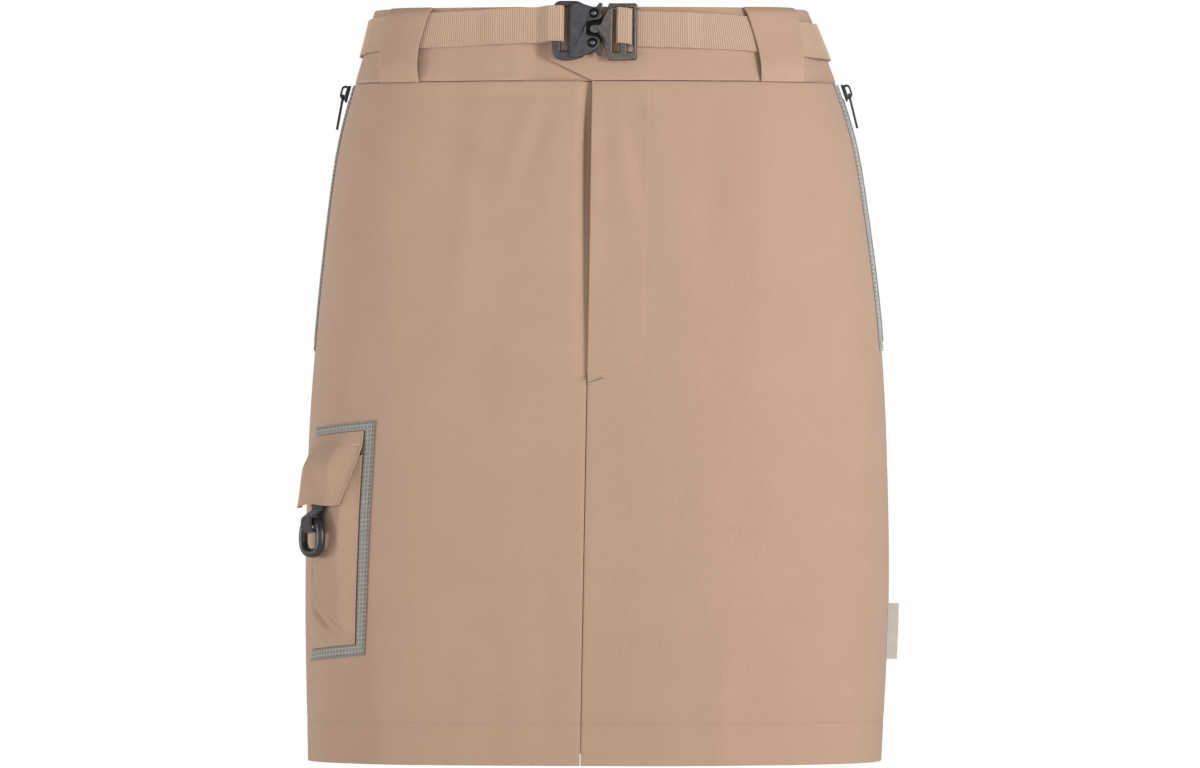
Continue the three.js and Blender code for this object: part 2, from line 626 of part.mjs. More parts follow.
// The pocket's own measures: p from its front edge to the rear, q down from its top, d out of the cloth.
function pocketPoint(p, q, d) {
  const z = POCKET_TOP - q - POCKET_TILT * p;
  return clothPoint(angleAtArc(z, -pocketEdge('arc', q) - p), z, d);
}
const frameColumns = [0, FRAME_STRIP.front, 20, 33, 46, POCKET_WIDTH];
const frameRows = [0, FRAME_STRIP.top, ...steps(20, 134, 6), POCKET_HEIGHT - FRAME_STRIP.bottom, POCKET_HEIGHT];
addPiece('pocket_frame_tape', closedWall(
  frameColumns,
  frameRows,
  (p, q) => pocketPoint(p, q, GAP + TAPE_WALL),
  (p, q) => pocketPoint(p, q, GAP),
  (i, j) => i === 0 || j === 0 || j === frameRows.length - 2,
), 'tape');

const bagFace = (u, q) => {
  const side = smoothstep(u, 0, BAG.side) * (1 - smoothstep(u, 1 - BAG.side, 1));
  const foot = 1 - smoothstep(q, BAG.foot - BAG.base, BAG.foot);
  const mouth = lerp(BAG.mouthFill, 1, smoothstep(q, BAG.mouth, BAG.mouth + 50));
  return GAP + WALL + (BAG.depth - GAP - WALL) * side * foot * mouth;
};
const bagPoint = (u, q, inward) => pocketPoint(lerp(BAG.front, BAG.back, u), q, bagFace(u, q) - inward);
addPiece('pocket_bag', closedWall(
  [0, 0.06, 0.12, 0.18, 0.24, 0.42, 0.58, 0.76, 0.82, 0.88, 0.94, 1],
  [...steps(BAG.mouth, BAG.foot - BAG.base, 8), 132, 137, 142, BAG.foot],
  (u, q) => bagPoint(u, q, 0),
  (u, q) => bagPoint(u, q, WALL),
), 'cloth');

const flapFace = (u, v) => {
  const across = lerp(0.72, 1, smoothstep(u, 0, 0.3)) * lerp(1, 0.42, smoothstep(u, 0.7, 1));
  const full = lerp(FLAP.edgeRise, 0.5, smoothstep(u, 0, 0.35));
  return GAP + WALL + (FLAP.depth - GAP - WALL) * across * smoothstep(v, -0.12, full);
};
const flapPoint = (u, v, inward) => {
  const front = lerp(FLAP.front[0], FLAP.front[1], Math.max(0, (v - 0.2) / 0.8) ** 1.15);
  const back = lerp(FLAP.back[0], FLAP.back[1], v);
  const q = lerp(FLAP.top, FLAP.foot - FLAP.bottomFall * u, v);
  return pocketPoint(lerp(front, back, u), q, flapFace(u, v) - inward);
};
addPiece('pocket_flap', closedWall(
  steps(0, 1, 10),
  steps(0, 1, 8),
  (u, v) => flapPoint(u, v, 0),
  (u, v) => flapPoint(u, v, WALL),
), 'cloth');

// The ring hangs flat against the pocket, in a strap that is sewn under the flap.
const ringPoint = (p, q, d) => pocketPoint(RING.p + p, q, d);
const ringAxes = clothAxes(angleAtArc(POCKET_TOP - RING.q, -pocketEdge('arc', RING.q) - RING.p), POCKET_TOP - RING.q);
const ringPlace = new THREE.Matrix4()
  .makeBasis(ringAxes.round, ringAxes.up, ringAxes.out)
  .setPosition(ringPoint(0, RING.q, RING.out));
const ringCentreline = new THREE.CatmullRomCurve3(steps(0, 1, 28).slice(0, -1).map((part) => {
  const angle = part * 2 * Math.PI;
  const power = 2 / RING.squareness;
  const x = Math.sign(Math.cos(angle)) * Math.abs(Math.cos(angle)) ** power * RING.width / 2;
  const y = Math.sign(Math.sin(angle)) * Math.abs(Math.sin(angle)) ** power * RING.height / 2;
  return new THREE.Vector3(x, y, 0);
}), true);
addPiece('pocket_ring', new THREE.TubeGeometry(ringCentreline, 40, RING.bar / 2, 10, true), 'black', ringPlace);

const ringTop = RING.q - RING.height / 2;
const turnRadius = RING.bar / 2 + RING_STRAP.slack + RING_STRAP.thick / 2;
const turnEnd = ringTop + RING_STRAP.drop + turnRadius;
const strapPath = roundedPath([
  { a: RING_STRAP.q, d: RING_STRAP.low },
  { a: ringTop - 4, d: RING.out - turnRadius, r: 4 },
  { a: turnEnd, d: RING.out - turnRadius, r: turnRadius - 0.02 },
  { a: turnEnd, d: RING.out + turnRadius, r: turnRadius - 0.02 },
  { a: ringTop - 2, d: RING.out + turnRadius, r: 2.5 },
  { a: 56, d: RING_STRAP.high + 0.2, r: 3 },
  { a: RING_STRAP.q, d: RING_STRAP.high },
], 8);
addPiece('pocket_ring_strap', strap(
  strapPath,
  [RING_STRAP.width / 2, 0, -RING_STRAP.width / 2],
  RING_STRAP.thick,
  (q, b, d) => ringPoint(b * (1 + RING_STRAP.spread * (1 - smoothstep(q, 50, ringTop - 1))), q, d),
), 'black');

// A blank woven label, sewn into the side seam of the wearer's left.
const LABEL = { top: -370, foot: -407, reach: 7, thick: 0.8 };
const labelPoint = (z, d, aside) => {
  const angle = angleAtArc(z, sideArc(z));
  return clothPoint(angle, z, d).addScaledVector(clothAxes(angle, z).round, aside);
};
addPiece('side_label', closedWall(
  steps(LABEL.foot, LABEL.top, 3),
  [GAP, LABEL.reach / 2, LABEL.reach],
  (z, d) => labelPoint(z, d, LABEL.thick / 2),
  (z, d) => labelPoint(z, d, -LABEL.thick / 2),
), 'label');

export default group;
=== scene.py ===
from math import acos, ceil, cos, pi, radians, sin, tan

import bmesh
import bpy
import numpy as np
from mathutils import Matrix, Vector


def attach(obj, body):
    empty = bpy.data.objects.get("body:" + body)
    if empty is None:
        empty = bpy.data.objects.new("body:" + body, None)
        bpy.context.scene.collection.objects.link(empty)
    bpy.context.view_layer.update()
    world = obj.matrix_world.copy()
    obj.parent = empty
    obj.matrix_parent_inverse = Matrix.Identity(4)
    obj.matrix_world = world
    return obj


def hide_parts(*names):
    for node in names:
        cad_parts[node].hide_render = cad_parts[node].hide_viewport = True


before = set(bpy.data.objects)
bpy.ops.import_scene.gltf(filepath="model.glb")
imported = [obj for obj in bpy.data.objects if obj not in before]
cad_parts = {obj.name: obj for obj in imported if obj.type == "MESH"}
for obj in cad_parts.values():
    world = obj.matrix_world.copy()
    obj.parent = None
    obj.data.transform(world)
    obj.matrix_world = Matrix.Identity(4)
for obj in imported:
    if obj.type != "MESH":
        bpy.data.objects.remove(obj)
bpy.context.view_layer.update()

# The looks of a cargo utility skirt. Sizes are in millimetres until a piece's points are placed.
# +Z is up, the front faces -Y and +X is the wearer's left, as in the solids.
MM = 0.001


def table(columns, *rows):
    """Rows of numbers with named columns."""
    return [dict(zip(columns.split(), row)) for row in rows]


# The sizes that the solids are built from.
WAIST_TOP = 25
WAIST_SEAM = -24
HEM = -475
HEM_DEPTH = 28
FLY_END = -222
WALL = 1.6
HEM_WALL = 2.8
BAND_WALL = 2.4
TRIM_WALL = 1.4
TAPE_WALL = 0.9
GAP = 0.3
ROUNDNESS = 2.4

BELT_HEIGHT = 23.4
BELT_THICK = 1.6
BELT_LEVEL = 8
BELT_LOW = 1.5
BELT_HIGH = 3.4

SIDE_TAPE_WIDTH = 36
SIDE_TAPE_END = -202
PULL_LENGTH = 24

SECTIONS = table(
    "z half front back shift",
    (25, 144.5, 84, 88, -4),
    (0, 152.5, 88, 93, -2),
    (-24, 160.5, 92, 99, -1),
    (-62, 171.3, 98, 109, 0),
    (-102, 178, 102, 117, 0.4),
    (-181, 187.3, 107, 124, 1),
    (-260, 192.6, 110, 125, 0.4),
    (-365, 194.6, 112, 122, 0),
    (-475, 191.3, 112, 118, -1.6),
)
FOLDS = table(
    "at spread z tall depth",
    (-52, 10, -475, 120, 2.4),
    (-30, 9, -475, 100, -1.8),
    (26, 10, -475, 130, 2.2),
    (50, 9, -475, 110, -2),
    (-36, 12, -58, 26, -1.8),
    (34, 12, -60, 30, -1.6),
    (118, 11, -475, 190, 3.2),
    (142, 10, -475, 150, -2.6),
    (163, 11, -475, 210, 3),
    (-157, 12, -475, 170, 3.4),
    (-135, 9, -475, 140, -2.4),
    (-115, 10, -475, 200, 2.8),
)
OPENING = table(
    "z x lift fall",
    (-24, 1.5, 0.5, 3),
    (-60, 1.3, 2, 5.5),
    (-140, 0.4, 1.2, 4),
    (-216, -0.8, 0.2, 2.3),
    (-475, -5.3, 0, 0),
)
UNDERLAP = 38
TAB_END = -27.6
TAB_RISE = 14
BAND_FALL = 2.9
BAND_UNDERLAP = 14
BELT_RUN = table(
    "degrees z",
    (-180, 2.2),
    (-125, 3),
    (-88, 5.4),
    (-75, 7.6),
    (-53, 9.9),
    (-35, 11.4),
    (-14, 12.2),
    (13, 11),
    (21, 9.6),
    (41, 8.6),
    (51, 7.9),
    (74, 3.7),
    (125, 2.2),
    (180, 2.2),
)
LOOP_EDGES = table(
    "z right_far right_near left_near left_far",
    (25, -133, -104.5, 99.5, 131.5),
    (0, -138, -112, 107.6, 135.6),
    (-25, -140, -113.8, 112, 138.5),
)
LOOP_LIFT = table("z lift", (25, 0.5), (20.5, 3), (8, 3.1), (-8, 3.7), (-16, 3.4), (-25, 0.4))
LOOP_BOTTOM = -24.8
BACK_LOOP_WIDTH = 36
BACK_LOOP_ANGLE = 128

POCKET_TOP = -248
POCKET_TILT = 0.09
POCKET_WIDTH = 59
POCKET_HEIGHT = 155
POCKET_EDGE = table("q arc", (0, 147), (60, 150), (155, 153))
FRAME_STRIP = {"top": 5.5, "front": 7.5, "bottom": 7}
BAG = {
    "front": 8.6, "back": 56.5, "mouth": 22, "foot": 147.2, "depth": 8.5, "side": 0.24, "base": 20,
    "mouth_fill": 0.45, "width": 48, "wall": 1.2,
}
FLAP = {
    "top": 6.2, "foot": 54, "front": (7.9, 18.5), "back": (57, 69), "fall": 2, "depth": 13.9,
    "edge_rise": 1.15, "width": 51, "length": 49,
}
RING = {"width": 19.5, "height": 21, "bar": 6, "squareness": 2.6, "p": 36, "q": 74.5, "out": 14.9}
RING_STRAP = {
    "width": 8.6, "spread": 0.35, "thick": 1.3, "q": 46, "low": 9.1, "high": 10.75, "slack": 1.75,
    "drop": 1.6,
}
LABEL = {"top": -370, "foot": -407, "reach": 7, "thick": 0.8}

BUCKLE_LEVEL = 7.4
PLATE = {"base": 5.2, "top": 7.8, "cover": 10}
SOCKET_BAR = (-24.6, -19)
TONGUE_BAR = (19.8, 24.8)
BAR_REACH = 1.4
BAND_SAG = 0.4

# Creases that the solids leave out: soft troughs and ridges, placed one by one. A lean is in degrees of
# turn for each 100 mm of height.
CREASES = table(
    "at spread z tall depth lean",
    (-47, 4.5, -60, 60, -1.65, -2),
    (-40, 3.5, -110, 75, 1.2, 3),
    (-58, 5, -150, 90, 1.35, -3),
    (-27, 4, -72, 34, 1.35, 12),
    (-20, 3.5, -64, 24, -1.35, 16),
    (-14, 4.5, -95, 44, 1.05, 10),
    (-33, 5, -205, 80, -0.9, 4),
    (-62, 5, -250, 60, -1.2, 0),
    (-24, 6, -330, 110, 1.05, -2),
    (-66, 4, -430, 60, -1.95, 2),
    (-57, 3.5, -445, 48, 1.5, -3),
    (-43, 4, -450, 44, -1.05, 1),
    (-14, 5, -440, 70, -1.35, 2),
    (12, 4, -70, 36, 1.35, -6),
    (19, 3.5, -88, 44, -1.2, -9),
    (27, 4, -74, 38, 1.2, -14),
    (41, 4.5, -92, 62, -1.35, 4),
    (52, 5, -130, 85, 1.2, 3),
    (33, 6, -230, 110, 0.9, -3),
    (58, 5, -300, 90, -1.05, 2),
    (14, 5, -400, 90, 0.9, 1),
    (40, 4, -446, 50, 1.5, 2),
    (62, 4.5, -440, 62, -1.5, -2),
    (-42, 4, -59, 26, -1.35, -53),
    (-49, 3.5, -72, 22, 0.9, -50),
    (-30, 15, -33, 4.5, -1.2, 0),
    (19, 2.6, -41, 9, -1.35, -25),
    (-37, 5, -18, 4, -0.6, 0),
    (-30, 3, -14, 5, -0.45, 20),
    (-12, 3, -14, 16, 0.52, 10),
    (-33, 3, -6, 14, -0.6, -8),
    (22, 4, -12, 14, 0.52, 6),
    (104, 5, -120, 60, -2.92, 4),
    (122, 4, -95, 40, 2.7, 9),
    (139, 5, -150, 70, -2.7, -4),
    (154, 4, -80, 32, 2.47, 12),
    (171, 5, -118, 46, -2.92, 5),
    (-170, 5, -180, 80, 2.47, -5),
    (-152, 4, -90, 36, -2.7, -11),
    (-138, 5, -140, 60, 2.7, 6),
    (-121, 4, -100, 44, -2.47, -8),
    (-104, 5, -190, 80, 2.25, 3),
    (150, 5, -330, 90, -3.15, 3),
    (-165, 5, -340, 100, -2.92, -3),
    (-128, 4, -380, 80, 2.7, 2),
    (110, 4, -390, 80, -2.7, -2),
    (177, 5, -300, 120, 2.03, 1),
)


def curve(rows, along, column):
    """A smooth curve through a table's rows, read by column."""
    rows = sorted(rows, key=lambda row: row[along])
    place = np.array([row[along] for row in rows], float)
    value = np.array([row[column] for row in rows], float)
    order = np.arange(len(rows))
    before = np.maximum(order - 1, 0)
    after = np.minimum(order + 1, len(rows) - 1)
    slope = (value[after] - value[before]) / (place[after] - place[before])

    def at(where):
        where = np.clip(where, place[0], place[-1])
        i = np.clip(np.searchsorted(place, where) - 1, 0, len(rows) - 2)
        span = place[i + 1] - place[i]
        t = (where - place[i]) / span
        bend = slope[i] * (t - 2 * t**2 + t**3) + slope[i + 1] * (t**3 - t**2)
        return lerp(value[i], value[i + 1], t * t * (3 - 2 * t)) + span * bend

    return at


def lerp(start, end, part):
    return start + (end - start) * part


def smoothstep(at, low, high):
    t = np.clip((at - low) / (high - low), 0, 1)
    return t * t * (3 - 2 * t)


def unit(vectors):
    return vectors / np.linalg.norm(vectors, axis=-1, keepdims=True)


def lengths_to(points):
    """How far along a line each of its points is."""
    return np.concatenate([[0], np.cumsum(np.linalg.norm(np.diff(points, axis=0), axis=1))])


section = {column: curve(SECTIONS, "z", column) for column in ("half", "front", "back", "shift")}
opening = {column: curve(OPENING, "z", column) for column in ("x", "lift", "fall")}
loop_edge = {column: curve(LOOP_EDGES, "z", column) for column in LOOP_EDGES[0] if column != "z"}
loop_lift = curve(LOOP_LIFT, "z", "lift")
belt_run = curve(BELT_RUN, "degrees", "z")
pocket_edge = curve(POCKET_EDGE, "q", "arc")


def fold_depth(rows, angle, z):
    """How far the folds or creases of a table push the cloth out."""
    depth = np.zeros(np.broadcast(angle, z).shape)
    for row in rows:
        turn = np.degrees(angle) - row["at"] - row.get("lean", 0) * (z - row["z"]) / 100
        aside = (turn - 360 * np.round(turn / 360)) / row["spread"]
        above = (z - row["z"]) / row["tall"]
        depth += row["depth"] * np.exp(-aside * aside - above * above)
    return depth


def body(angle, z):
    """A point of the cloth's outer face, by its direction from the front and its level."""
    angle, z = np.broadcast_arrays(np.asarray(angle, float), np.asarray(z, float))
    deep = np.where(np.cos(angle) >= 0, section["front"](z), section["back"](z))
    across = np.abs(np.sin(angle) / section["half"](z)) ** ROUNDNESS
    along = np.abs(np.cos(angle) / deep) ** ROUNDNESS
    radius = (across + along) ** (-1 / ROUNDNESS) + fold_depth(FOLDS, angle, z)
    return np.stack([section["shift"](z) + radius * np.sin(angle), -radius * np.cos(angle), z], -1)


def cloth_axes(angle, z):
    """The cloth's own directions at a point: round it, up it and out of it."""
    level = np.clip(z, HEM + 1, WAIST_TOP - 1)
    across = unit(body(angle + 0.004, level) - body(angle - 0.004, level))
    slope = body(angle, level + 1) - body(angle, level - 1)
    out = unit(np.cross(across, slope))
    return across, np.cross(out, across), out


def cloth(angle, z, out=0):
    """A point so far out of the creased cloth."""
    lift = out + fold_depth(CREASES, angle, z)
    return body(angle, z) + cloth_axes(angle, z)[2] * lift[..., None]


# GIRTHS holds how far round the cloth each direction is, from the middle of the front, and ANGLES the
# direction at each millimetre round it, both for each level.
TURNS = np.linspace(0, 2 * pi, 721)
LEVEL_STEP = 3
LEVELS = np.arange(HEM - 6, WAIST_TOP + 9, LEVEL_STEP)


def girth(z):
    return lengths_to(body(TURNS, z))


GIRTHS = np.array([girth(z) for z in LEVELS])
MOST_ROUND = 1120
ANGLES = np.array([np.interp(np.arange(MOST_ROUND), lengths, TURNS) for lengths in GIRTHS])


def between_levels(grid, z, column):
    """A value read from a grid by level and by column, between its cells."""
    row = np.clip((z - LEVELS[0]) / LEVEL_STEP, 0, len(LEVELS) - 1.001)
    column = np.clip(column, 0, grid.shape[1] - 1.001)
    i, j = row.astype(int), column.astype(int)
    low = lerp(grid[i, j], grid[i, j + 1], column - j)
    high = lerp(grid[i + 1, j], grid[i + 1, j + 1], column - j)
    return lerp(low, high, row - i)


def angle_at_arc(z, arc):
    z, arc = np.broadcast_arrays(np.asarray(z, float), np.asarray(arc, float))
    return np.sign(arc) * between_levels(ANGLES, z, np.abs(arc))


def arc_at_angle(z, angle):
    z, angle = np.broadcast_arrays(np.asarray(z, float), np.asarray(angle, float))
    return np.sign(angle) * between_levels(GIRTHS, z, np.abs(angle) / TURNS[1])


def angle_at_x(z, x):
    low = np.full(np.broadcast(z, x).shape, -pi / 2)
    high = -low
    for _ in range(26):
        middle = (low + high) / 2
        beyond = body(middle, z)[..., 0] > x
        high = np.where(beyond, middle, high)
        low = np.where(beyond, low, middle)
    return (low + high) / 2


def by_level(work, z):
    """Works something out once for each level that is there."""
    levels, where = np.unique(z, return_inverse=True)
    return work(levels)[where]


def side_arc(z):
    """How far round from the middle of the front the side seam is."""
    return np.interp(z, LEVELS, GIRTHS[:, 180])


def side_edge(side, z, aside=GAP / 2):
    """The direction of a point beside a side seam, on the wearer's left for 1 and right for -1."""
    return side * angle_at_arc(z, side_arc(z) - aside)


def round_back(u, z):
    """The direction of a point of the back, from the left seam at 0 to the right one at 1."""
    return lerp(side_edge(1, z, -GAP / 2), 2 * pi + side_edge(-1, z, -GAP / 2), u)


def opening_angle(z, aside=0.0):
    return by_level(lambda levels: angle_at_x(levels, opening["x"](levels) + aside), z)


class Value:
    """A socket's value in a finish, with the arithmetic that its patterns are written in."""

    def __init__(self, finish, socket):
        self.finish = finish
        self.socket = socket

    def math(self, operation, first, *others):
        sockets = dict(enumerate((first, *others)))
        return self.finish.node("ShaderNodeMath", {"operation": operation}, sockets)

    def __add__(self, other):
        return self.math("ADD", self, other)

    def __sub__(self, other):
        return self.math("SUBTRACT", self, other)

    def __rsub__(self, other):
        return self.math("SUBTRACT", other, self)

    def __mul__(self, other):
        return self.math("MULTIPLY", self, other)

    __radd__ = __add__
    __rmul__ = __mul__

    def sine(self):
        return self.math("SINE", self)

    def size(self):
        return self.math("ABSOLUTE", self)

    def most(self, other):
        return self.math("MAXIMUM", self, other)

    def within(self, low, high):
        """0 below low and 1 above high, with a soft step between."""
        sockets = {"Value": self, "From Min": low, "From Max": high}
        return self.finish.node("ShaderNodeMapRange", {"interpolation_type": "SMOOTHSTEP"}, sockets)

    def wave(self, pitch):
        """A wave from 0 to 1, one for each pitch."""
        return (self * (2 * pi / pitch)).sine() * 0.5 + 0.5

    def near(self, place, reach):
        """1 at a place, down to 0 at a reach from it."""
        return 1 - (self - place).size().within(0, reach)


class Finish:
    """One material and the nodes that make its pattern."""

    def __init__(self, name, kind=bpy.data.materials, shader="Principled BSDF"):
        self.material = kind.new(name)
        self.material.use_nodes = True
        self.tree = self.material.node_tree
        self.shader = self.tree.nodes[shader]

    def node(self, kind, settings, sockets, result=0):
        node = self.tree.nodes.new(kind)
        for name, value in settings.items():
            setattr(node, name, value)
        for name, value in sockets.items():
            self.feed(self.socket(node.inputs, name), value)
        return Value(self, self.socket(node.outputs, result))

    def socket(self, sockets, name):
        named = [socket for socket in sockets if socket.identifier == name]
        return named[0] if named else sockets[name]

    def feed(self, socket, value):
        if isinstance(value, Value):
            self.tree.links.new(value.socket, socket)
        else:
            socket.default_value = value

    def set(self, **values):
        for name, value in values.items():
            self.feed(self.shader.inputs[name.replace("_", " ")], value)
        return self.material

    def lay(self):
        """How far along and up the flat cloth a point is, in millimetres."""
        flat = self.node("ShaderNodeUVMap", {"uv_map": "Lay"}, {})
        return [self.node("ShaderNodeSeparateXYZ", {}, {0: flat}, side) for side in ("X", "Y")]

    def place(self):
        return self.node("ShaderNodeTexCoord", {}, {}, "Object")

    def noise(self, grain, detail=2.0, stretch=(1, 1, 1)):
        """Cloudy noise from 0 to 1, with grain in millimetres."""
        scale = [1 / (grain * MM * side) for side in stretch]
        spot = self.node("ShaderNodeVectorMath", {"operation": "MULTIPLY"}, {0: self.place(), 1: scale})
        return self.node("ShaderNodeTexNoise", {}, {"Vector": spot, "Scale": 1.0, "Detail": detail})

    def mix(self, first, second, part):
        sockets = {"Factor_Float": part, "A_Color": first, "B_Color": second}
        return self.node("ShaderNodeMix", {"data_type": "RGBA"}, sockets, "Result_Color")

    def bump(self, height, depth, under=None):
        """A surface raised by a height from 0 to 1, a depth in millimetres."""
        sockets = {"Height": height, "Distance": depth * MM, "Strength": 1.0}
        if under:
            sockets["Normal"] = under
        return self.node("ShaderNodeBump", {}, sockets)


def shade(red, green, blue):
    """A colour as it is seen, from 0 to 255, as the shader wants it."""
    def linear(part):
        part /= 255
        return part / 12.92 if part <= 0.04045 else ((part + 0.055) / 1.055) ** 2.4

    return (linear(red), linear(green), linear(blue), 1)


def toned(colour, part):
    """A colour made lighter or darker by a factor."""
    return [channel * part for channel in colour[:3]] + [1]


def grey(level):
    return (level, level, level, 1)


def cloth_finish(name, light, dark, lines=(), rough=0.82):
    """Fine twill with a soft nap. Lines are levels where a sewn row draws the cloth in."""
    finish = Finish(name)
    along, up = finish.lay()
    twill = (along * 1.0 + up).wave(1.15)
    yarn = (along - up * 0.35).wave(0.62)
    slub = finish.noise(0.9, 3.0, (1, 1, 3))
    cloud = finish.noise(38, 3.0)
    tone = cloud * 0.3 + slub * 0.44 + twill * 0.26
    colour = finish.mix(dark, light, tone.within(0.15, 0.85))
    height = twill * 0.55 + yarn * 0.15 + slub * 0.3
    normal = finish.bump(height, 0.075)
    if lines:
        pinch = finish.noise(7, 1.0)
        drawn = up.near(lines[0], 4)
        for level in lines[1:]:
            drawn = drawn.most(up.near(level, 4))
        normal = finish.bump(1 - drawn * (0.45 + pinch * 0.5), 0.5, normal)
    finish.set(Base_Color=colour, Roughness=rough, Normal=normal)
    return finish.set(Sheen_Weight=0.18, Sheen_Roughness=0.45, Specular_IOR_Level=0.3)


def webbing_finish():
    """Ribbed polyester webbing: ribs across it, a fine weave in each, and painted shade in the grooves."""
    finish = Finish("belt_webbing")
    along, up = finish.lay()
    rib = along.wave(RIB_PITCH)
    pick = (up + rib * 0.5).wave(0.8)
    fibre = finish.noise(0.5, 2.0)
    # Painted shade: the colour darkens in the grooves between the ribs, over the fibre's own uneven tone.
    tone = (rib * 0.6 + fibre * 0.45).within(0.1, 0.95)
    colour = finish.mix(shade(174, 141, 118), shade(213, 183, 157), tone)
    normal = finish.bump(pick * 0.6 + fibre * 0.4, 0.1)
    finish.set(Base_Color=colour, Roughness=0.72, Normal=normal)
    return finish.set(Sheen_Weight=0.2, Sheen_Roughness=0.4, Specular_IOR_Level=0.35)


def tape_finish(name, ground, grid, pitch=3.0):
    """Thin ripstop tape: a close weave crossed by a raised grid."""
    finish = Finish(name)
    along, up = finish.lay()
    bars = along.wave(pitch).within(0.8, 0.97).most(up.wave(pitch).within(0.8, 0.97))
    weave = along.wave(0.7) * up.wave(0.7)
    worn = finish.noise(9, 3.0)
    colour = finish.mix(ground, grid, (bars * 0.75 + worn * 0.3 + weave * 0.1).within(0.1, 1.05))
    normal = finish.bump(bars * 0.7 + weave * 0.3, 0.14)
    finish.set(Base_Color=colour, Roughness=0.5, Normal=normal)
    return finish.set(Sheen_Weight=0.1)


def metal_finish(name, ground, rough, grain, speck=0.66):
    """Dark blasted metal with a fine grain, a few bright specks and painted shade on its sides."""
    finish = Finish(name)
    pitted = finish.noise(grain, 3.0)
    cloud = finish.noise(5, 2.0)
    specks = finish.noise(grain * 0.8, 1.0).within(speck, speck + 0.08)
    blotched = finish.mix(toned(ground, 0.75), ground, cloud.within(0.3, 0.7))
    face = finish.mix(blotched, shade(150, 148, 146), specks * 0.6)
    # Painted shade: faces that turn from the front take a far darker colour.
    normal = finish.node("ShaderNodeNewGeometry", {}, {}, "Normal")
    facing = finish.node("ShaderNodeSeparateXYZ", {}, {0: normal}, "Y")
    colour = finish.mix(toned(ground, 0.16), face, (facing * -1.0).within(0.5, 1.0))
    finish.set(Base_Color=colour, Roughness=pitted * 0.2 + (rough - 0.1))
    return finish.set(Normal=finish.bump(pitted, 0.06), Metallic=0.85)


def plastic_finish(name, ground, rough, grain=0.5):
    """Moulded plastic with a spark-eroded grain."""
    finish = Finish(name)
    pitted = finish.noise(grain, 2.0)
    cloud = finish.noise(4, 2.0)
    colour = finish.mix(ground, toned(ground, 1.6), cloud.within(0.35, 0.75))
    finish.set(Base_Color=colour, Roughness=cloud * 0.16 + (rough - 0.08))
    return finish.set(Normal=finish.bump(pitted, 0.05), Specular_IOR_Level=0.5)


def strap_finish():
    """Black narrow webbing, ribbed along its length."""
    finish = Finish("ring_strap_webbing")
    along, up = finish.lay()
    ribs = along.wave(1.3)
    picks = (up + ribs * 0.4).wave(0.9)
    colour = finish.mix(shade(26, 26, 29), shade(62, 61, 66), ribs * 0.5 + picks * 0.4)
    finish.set(Base_Color=colour, Roughness=0.7, Normal=finish.bump(ribs * 0.6 + picks * 0.4, 0.2))
    return finish.set(Sheen_Weight=0.25)


def label_finish():
    """Off-white woven satin label."""
    finish = Finish("label_weave")
    along, up = finish.lay()
    weave = along.wave(0.55) * up.wave(0.8)
    soil = finish.noise(6, 3.0)
    colour = finish.mix(shade(190, 183, 173), shade(222, 216, 206), soil * 0.6 + weave * 0.4)
    finish.set(Base_Color=colour, Roughness=0.62, Normal=finish.bump(weave, 0.1))
    return finish.set(Sheen_Weight=0.15)


def thread_finish(name, ground):
    """Twisted thread."""
    finish = Finish(name)
    twist = finish.noise(0.35, 1.0, (1, 1, 0.4))
    finish.set(Base_Color=finish.mix(ground, toned(ground, 1.25), twist), Roughness=0.6)
    return finish.set(Normal=finish.bump(twist, 0.08), Sheen_Weight=0.15)


RIB_PITCH = 1.45
HEM_ROW = HEM + HEM_DEPTH - 0.5
CLOTH_LIGHT = shade(195, 162, 139)
CLOTH_DARK = shade(182, 149, 127)
TWILL = cloth_finish("panel_twill", CLOTH_LIGHT, CLOTH_DARK, lines=(HEM_ROW,))
BAND_TWILL = cloth_finish("band_twill", CLOTH_LIGHT, CLOTH_DARK)
POCKET_TWILL = cloth_finish("pocket_twill", shade(196, 163, 140), shade(178, 146, 124))
WEBBING = webbing_finish()
TAPE = tape_finish("ripstop_tape", shade(124, 122, 113), shade(166, 165, 156))
ZIP_TAPE = tape_finish("side_tape", shade(160, 161, 156), shade(200, 202, 198))
SOCKET_METAL = metal_finish("socket_metal", shade(102, 100, 104), 0.46, 0.4)
TONGUE_METAL = metal_finish("tongue_metal", shade(116, 107, 101), 0.5, 0.7, 0.48)
RIVET_METAL = metal_finish("rivet_metal", shade(112, 110, 112), 0.28, 0.5, 0.8)
# Painted shade: a near-black metal for the ring round each rivet head and for the socket's under plate.
SHADE_METAL = metal_finish("painted_shade_metal", shade(46, 44, 46), 0.4, 0.5, 0.8)
PLASTIC = plastic_finish("black_plastic", shade(33, 32, 35), 0.42)
GREY_PLASTIC = plastic_finish("grey_plastic", shade(120, 121, 117), 0.5)
RING_PLASTIC = plastic_finish("ring_plastic", shade(40, 39, 42), 0.34, 0.8)
STRAP = strap_finish()
LABEL_WEAVE = label_finish()
CLOTH_THREAD = thread_finish("cloth_thread", shade(165, 132, 112))
GREY_THREAD = thread_finish("grey_thread", shade(70, 67, 62))
# Painted shade: dark thread for the bed under the fly's bar tack.
TACK_SHADE_THREAD = thread_finish("tack_shade_thread", shade(128, 98, 80))
LIGHT_THREAD = thread_finish("light_thread", shade(198, 166, 144))
PALE_THREAD = thread_finish("pale_thread", shade(196, 176, 158))


def spaced(step, *stops):
    """Places from the first stop to the last, at most a step apart, with every stop among them."""
    places = [stops[0]]
    for start, end in zip(stops, stops[1:]):
        count = max(1, ceil(abs(end - start) / step - 1e-6))
        places += [lerp(start, end, k / count) for k in range(1, count + 1)]
    return np.array(places, float)


def new_mesh(name, shape):
    """A mesh of what a bmesh holds, which is freed."""
    mesh = bpy.data.meshes.new(name)
    shape.to_mesh(mesh)
    shape.free()
    return mesh


